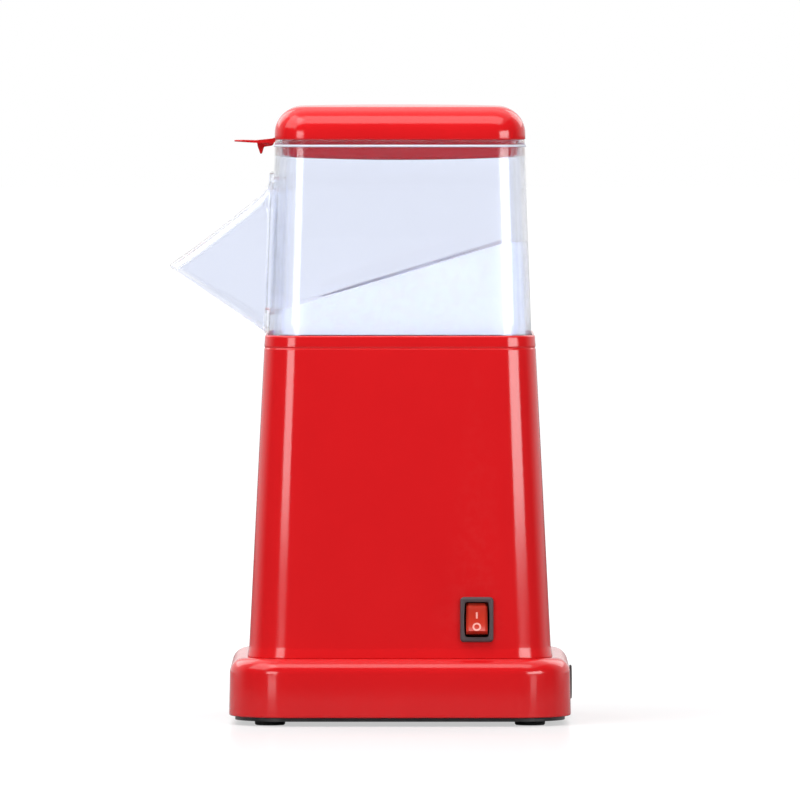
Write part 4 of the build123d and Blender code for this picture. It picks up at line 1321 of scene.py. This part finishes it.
@dataclass
class Switch:
    """The rocker switch: its bezel and case, the lit rocker and the two marks on it."""

    middle: tuple[float, float] = (35.4, 49.0)
    panel: float = -65.088
    lean: float = math.atan2(7.5, 148.0)
    bezel: Outline = Outline(15.4, 20.8, 1.8)
    proud: float = 2.0
    rocker_width: float = 9.9
    tilt: float = math.radians(10.0)
    pivot_depth: float = 3.0
    bow: float = 0.5
    face_run: tuple[float, float] = (-6.4, 5.0)
    ring_up: float = -4.4
    bar_up: float = 1.05

    def placed(self, across: np.ndarray, up: np.ndarray, out: np.ndarray) -> np.ndarray:
        """Turns switch-panel places into the frame: the panel leans with the body's wall.

        Args:
            across: along +X from the switch's middle.
            up: up the panel.
            out: outward from the panel.

        Returns:
            Points with a last axis of three, in millimetres.
        """
        sine, cosine = math.sin(self.lean), math.cos(self.lean)
        x = self.middle[0] + across
        y = self.panel + sine * up - cosine * out
        z = self.middle[1] + cosine * up + sine * out
        return np.stack(np.broadcast_arrays(x, y, z), axis=-1)

    def housing_rings(self) -> np.ndarray:
        """Rings from the back of the case, round the bezel and down to the socket's floor.

        Inside the bezel the long sides bow outward by bow * (1 - (up / half height) squared).

        Returns:
            Points as (ring, place, 3).
        """
        corners = [
            (5.0, -13.7, 0.0), (1.1, -13.7, 0.3), (1.1, -0.1, 0.0), (0.0, -0.1, 0.0),
            (0.0, self.proud - 0.3, 1.1), (1.2, self.proud, 0.8), (2.3, self.proud - 0.2, 0.25),
            (2.35, 0.5, 0.5), (2.1, -2.0, 0.5), (2.1, -12.5, 0.3), (5.0, -12.5, 0.0),
        ]
        path = rounded_path(corners, 5)
        inset, out = path.T
        opening = np.arange(len(path)) > np.argmax(out)
        corner = np.where(opening, 1.0, np.maximum(self.bezel.corner - inset, 0.5))
        half_across = self.bezel.length / 2 - inset
        half_up = self.bezel.width / 2 - inset
        flat = Loop(6, 10).rings(half_across, half_up, corner)
        bend = 1 - (flat[..., 1] / half_up[:, None]) ** 2
        room = np.where(opening & (out > -1.5), self.bow, 0.0)[:, None]
        flat[..., 0] += np.sign(flat[..., 0]) * room * bend
        pole = np.linspace(0, 1, 4)[:-1]
        flat = np.concatenate(
            [flat[:1] * pole[:, None, None], flat, flat[-1:] * pole[::-1, None, None]]
        )
        out = np.concatenate([np.full(3, out[0]), out, np.full(3, out[-1])])
        return self.placed(flat[..., 0], flat[..., 1], out[:, None])

    def turned(self, up: np.ndarray, out: np.ndarray) -> tuple[np.ndarray, np.ndarray]:
        """Tilts rocker places about the pivot; up and out are measured from the pivot."""
        sine, cosine = math.sin(self.tilt), math.cos(self.tilt)
        return up * cosine + out * sine, out * cosine - up * sine - self.pivot_depth

    def face_height(self, up: np.ndarray) -> np.ndarray:
        """How far the rocker's hollow face stands out from the pivot at a place up it."""
        return 4.9 + 0.7 * (up / 5.0) ** 2

    def rocker_sections(self) -> np.ndarray:
        """The rocker's side outline, repeated across it; its face drops in a bevel at each side.

        Returns:
            Points as (section, place, 3).
        """
        run = np.linspace(*self.face_run, 17)
        face = np.column_stack([run, self.face_height(run)])
        ends = rounded_path(
            [(5.0, 5.6, 0), (7.0, 3.7, 0.5), (7.3, 3.0, 0.4), (7.3, -2.0, 0.8),
             (-7.3, -2.0, 0.8), (-7.25, 3.0, 0.4), (-6.75, 4.9, 0.4), (-6.4, 6.05, 0)], 3,
        )
        outline = np.vstack([face, ends[1:-1]])
        half = self.rocker_width / 2
        across = np.array([-half, -half + 0.15, -half + 1.15, 0, half - 1.15, half - 0.15, half])
        fall = np.array([1.35, 1.05, 0.0, 0.0, 0.0, 1.05, 1.35])
        lip = np.clip((outline[:, 1] - 2.6) / 1.2, 0, 1)
        out = outline[None, :, 1] - fall[:, None] * lip[None, :]
        up = np.broadcast_to(outline[None, :, 0], out.shape)
        up, out = self.turned(up, out)
        return self.placed(np.broadcast_to(across[:, None], up.shape), up, out)

    def marks(self) -> Patchwork:
        """The bar and the ring on the rocker's face, as thin raised inlays.

        The bar is a rounded rectangle and the ring a band between two circles; both follow the
        face's height and stand a tenth of a millimetre proud.

        Returns:
            The patches.
        """
        work = Patchwork()
        turn = np.linspace(0, 2 * math.pi, 49)[:-1]
        section = np.array(
            [(1.2, -0.1), (1.2, 0.06), (1.3, 0.1), (1.88, 0.1), (1.98, 0.06), (1.98, -0.1)]
        )
        ring_up = self.ring_up + section[:, :1] * np.sin(turn)
        ring_across = section[:, :1] * np.cos(turn)
        out = self.face_height(ring_up) + section[:, 1:]
        up, out = self.turned(ring_up, out)
        work.grid(self.placed(ring_across, up, out), True, True)
        path = rounded_path(
            [(-0.42, -1.45, 0.2), (0.42, -1.45, 0.2), (0.42, 1.45, 0.2), (-0.42, 1.45, 0.2)], 3,
            closed=True,
        )
        size = np.array([1.0, 1.0, 0.86])[:, None]
        lift = np.array([-0.1, 0.06, 0.1])[:, None]
        bar_up = self.bar_up + path[None, :, 1] * size
        up, out = self.turned(bar_up, self.face_height(bar_up) + lift)
        work.prism(self.placed(path[None, :, 0] * size, up, out))
        return work

    def build(self, palette: Palette) -> None:
        """Builds the switch.

        Args:
            palette: the finishes.
        """
        grey, red, pale = (palette.of(s) for s in ("switch_grey", "switch_red", "rocker_marks"))
        bezel = Patchwork.sleeve(self.housing_rings(), wrap_rows=False)
        settle("switch_bezel", bezel, Body.ROOT, "switch_grey", grey, ("switch_housing",))
        work = Patchwork()
        work.prism(self.rocker_sections())
        rocker = settle(
            "rocker", work, Body.ROCKER, "switch_red", red, ("switch_rocker",), sharp=25.0
        )
        crisp(rocker, 0.12)
        settle("rocker_marks", self.marks(), Body.ROCKER, "switch_red", pale)


# ------------------------------------------------------------------ studio


@dataclass(frozen=True)
class Lamp:
    """A soft rectangular lamp that looks at a point of the object.

    azimuth and elevation are degrees as seen from the object, 0 towards the camera and growing
    to the right; radiance is the brightness of its face.
    """

    name: str
    azimuth: float
    elevation: float
    distance: float
    width: float
    height: float
    radiance: float
    aim: float = 0.15

    def place(self) -> None:
        """Adds the lamp to the scene."""
        data = bpy.data.lights.new(self.name, "AREA")
        data.shape = "RECTANGLE"
        data.size = self.width
        data.size_y = self.height
        data.energy = self.radiance * math.pi * self.width * self.height
        lamp = bpy.data.objects.new(self.name, data)
        bpy.context.scene.collection.objects.link(lamp)
        turn, rise = math.radians(self.azimuth), math.radians(self.elevation)
        out = Vector(
            (math.sin(turn) * math.cos(rise), -math.cos(turn) * math.cos(rise), math.sin(rise))
        )
        target = Vector((AXIS_X, 0, self.aim))
        lamp.location = target + out * self.distance
        lamp.rotation_mode = "QUATERNION"
        lamp.rotation_quaternion = (-out).to_track_quat("-Z", "Y")
        lamp.visible_camera = False


LAMPS = (
    Lamp("left_strip", -32.0, 8.5, 1.5, 0.56, 0.34, 6.5),
    Lamp("right_strip", 46.0, 8.5, 1.5, 0.8, 0.34, 8.0),
    Lamp("left_low", -31.0, 0.0, 1.5, 0.4, 0.1, 3.5, aim=0.055),
    Lamp("right_low", 42.0, 0.0, 1.5, 0.3, 0.1, 2.5, aim=0.055),
    Lamp("left_wash", -70.0, 45.0, 1.2, 0.9, 0.9, 2.6),
    Lamp("overhead", 0.0, 86.0, 1.4, 2.6, 2.2, 0.62),
    Lamp("front_fill", 0.0, 62.0, 1.0, 1.3, 0.6, 2.4, aim=0.2),
    Lamp("back_left", -140.0, 30.0, 1.7, 0.9, 0.9, 2.0),
    Lamp("back_right", 140.0, 30.0, 1.7, 0.9, 0.9, 2.0),
)


@dataclass
class Studio:
    """The camera, the lamps, the pale floor and the white surroundings.

    eye is the camera's Y and Z, and pitch how many degrees it looks down. gloss_turn and
    floor_glow_reach say between which directions and distances the surroundings and the
    floor's glow change.
    """

    eye: tuple[float, float] = (-6.0, 0.3212)
    pitch: float = 1.65
    lens: float = 580.0
    surround_seen: float = 1.0
    surround_fill: float = 0.16
    gloss_ahead: float = 0.08
    gloss_behind: float = 1.0
    floor_half: float = 20.0
    floor_glow: tuple[float, float] = (0.64, 1.06)
    floor_glow_reach: tuple[float, float] = (0.15, 1.1)
    floor_gloss: float = 0.25
    floor_colour: tuple[float, float, float, float] = (0.38, 0.38, 0.385, 1)
    gloss_turn: tuple[float, float] = (-0.05, 0.6)

    def build(self) -> None:
        """Sets the whole studio up."""
        self.camera()
        self.surround()
        self.floor()
        for lamp in LAMPS:
            lamp.place()
        bpy.context.scene.view_settings.view_transform = "Standard"
        bpy.context.scene.view_settings.look = "None"

    def camera(self) -> None:
        """Adds the camera: far in front, just above the object's top, looking slightly down."""
        data = bpy.data.cameras.new("camera")
        data.lens = self.lens
        data.sensor_width = 36.0
        data.clip_start = 0.05
        data.clip_end = 50.0
        camera = bpy.data.objects.new("camera", data)
        bpy.context.scene.collection.objects.link(camera)
        camera.location = (AXIS_X, self.eye[0], self.eye[1])
        camera.rotation_euler = (math.radians(90.0 - self.pitch), 0.0, 0.0)
        bpy.context.scene.camera = camera

    def surround(self) -> None:
        """Makes the surroundings: white where seen or seen through, and dimmer as light.

        Glossy rays find gloss_ahead on the camera's side and gloss_behind past the object.
        """
        world = bpy.data.worlds.new("white_room")
        bpy.context.scene.world = world
        world.use_nodes = True
        sky = Recipe(world.node_tree)
        path = sky.node("ShaderNodeLightPath").outputs
        seen = sky.maths("MAXIMUM", path["Is Camera Ray"], path["Is Transmission Ray"])
        way = sky.node("ShaderNodeTexCoord").outputs["Generated"]
        depth = sky.node("ShaderNodeSeparateXYZ", {0: way}).outputs["Y"]
        gloss = sky.spread(
            depth, self.gloss_ahead, self.gloss_behind, *self.gloss_turn,
            interpolation_type="SMOOTHSTEP",
        )
        feeds = {"Factor": path["Is Glossy Ray"], "A": self.surround_fill, "B": gloss}
        light = sky.node("ShaderNodeMix", feeds).outputs["Result"]
        feeds = {"Factor": seen, "A": light, "B": self.surround_seen}
        strength = sky.node("ShaderNodeMix", feeds).outputs["Result"]
        back = world.node_tree.nodes["Background"]
        sky.feed(back, {"Color": WHITE, "Strength": strength})

    def floor(self) -> None:
        """Adds a pale, slightly glossy floor that reaches past every view.

        It glows where it is seen, less near the object, so that the object's shadow shows.
        """
        mesh = bpy.data.meshes.new("floor")
        half = self.floor_half
        mesh.from_pydata(
            [(-half, -half, 0), (half, -half, 0), (half, half, 0), (-half, half, 0)], [], [(0, 1, 2, 3)]
        )
        floor = bpy.data.objects.new("floor", mesh)
        bpy.context.scene.collection.objects.link(floor)
        surface = Surface("pale_floor", {
            "Base Color": self.floor_colour, "Specular IOR Level": 0.0,
            "Emission Color": WHITE,
        })
        path = surface.node("ShaderNodeLightPath").outputs
        seen = surface.maths("MAXIMUM", path["Is Camera Ray"], path["Is Transmission Ray"])
        reach = surface.node("ShaderNodeVectorMath", {0: surface.places}, operation="LENGTH")
        glow = surface.spread(reach.outputs["Value"], *self.floor_glow, *self.floor_glow_reach)
        surface.feed(surface.shader, {"Emission Strength": surface.maths("MULTIPLY", glow, seen)})
        shine = surface.node("ShaderNodeBsdfGlossy", {"Color": WHITE, "Roughness": 0.1})
        grazing = surface.node("ShaderNodeFresnel", {"IOR": 1.33}).outputs[0]
        share = surface.spread(grazing, 0.0, self.floor_gloss)
        feeds = {"Fac": share, 1: surface.shader.outputs[0], 2: shine.outputs[0]}
        mesh.materials.append(surface.finish(surface.node("ShaderNodeMixShader", feeds).outputs[0]))


def make_palette() -> Palette:
    """Builds the shared effects and every finish."""
    effects = Effects(grain_effect(), wear_effect(), dust_effect())
    return Palette({key: finish.make(effects) for key, finish in FINISHES.items()})


def main() -> None:
    """Builds the popcorn maker and its studio."""
    logging.basicConfig(level=logging.INFO, format="%(message)s")
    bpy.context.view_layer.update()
    palette = make_palette()
    palette.dress_frame()
    for part in (Base(), ClearTop(), Hood(), Lid(), Switch()):
        part.build(palette)
    Studio().build()


if __name__ == "__main__":
    main()
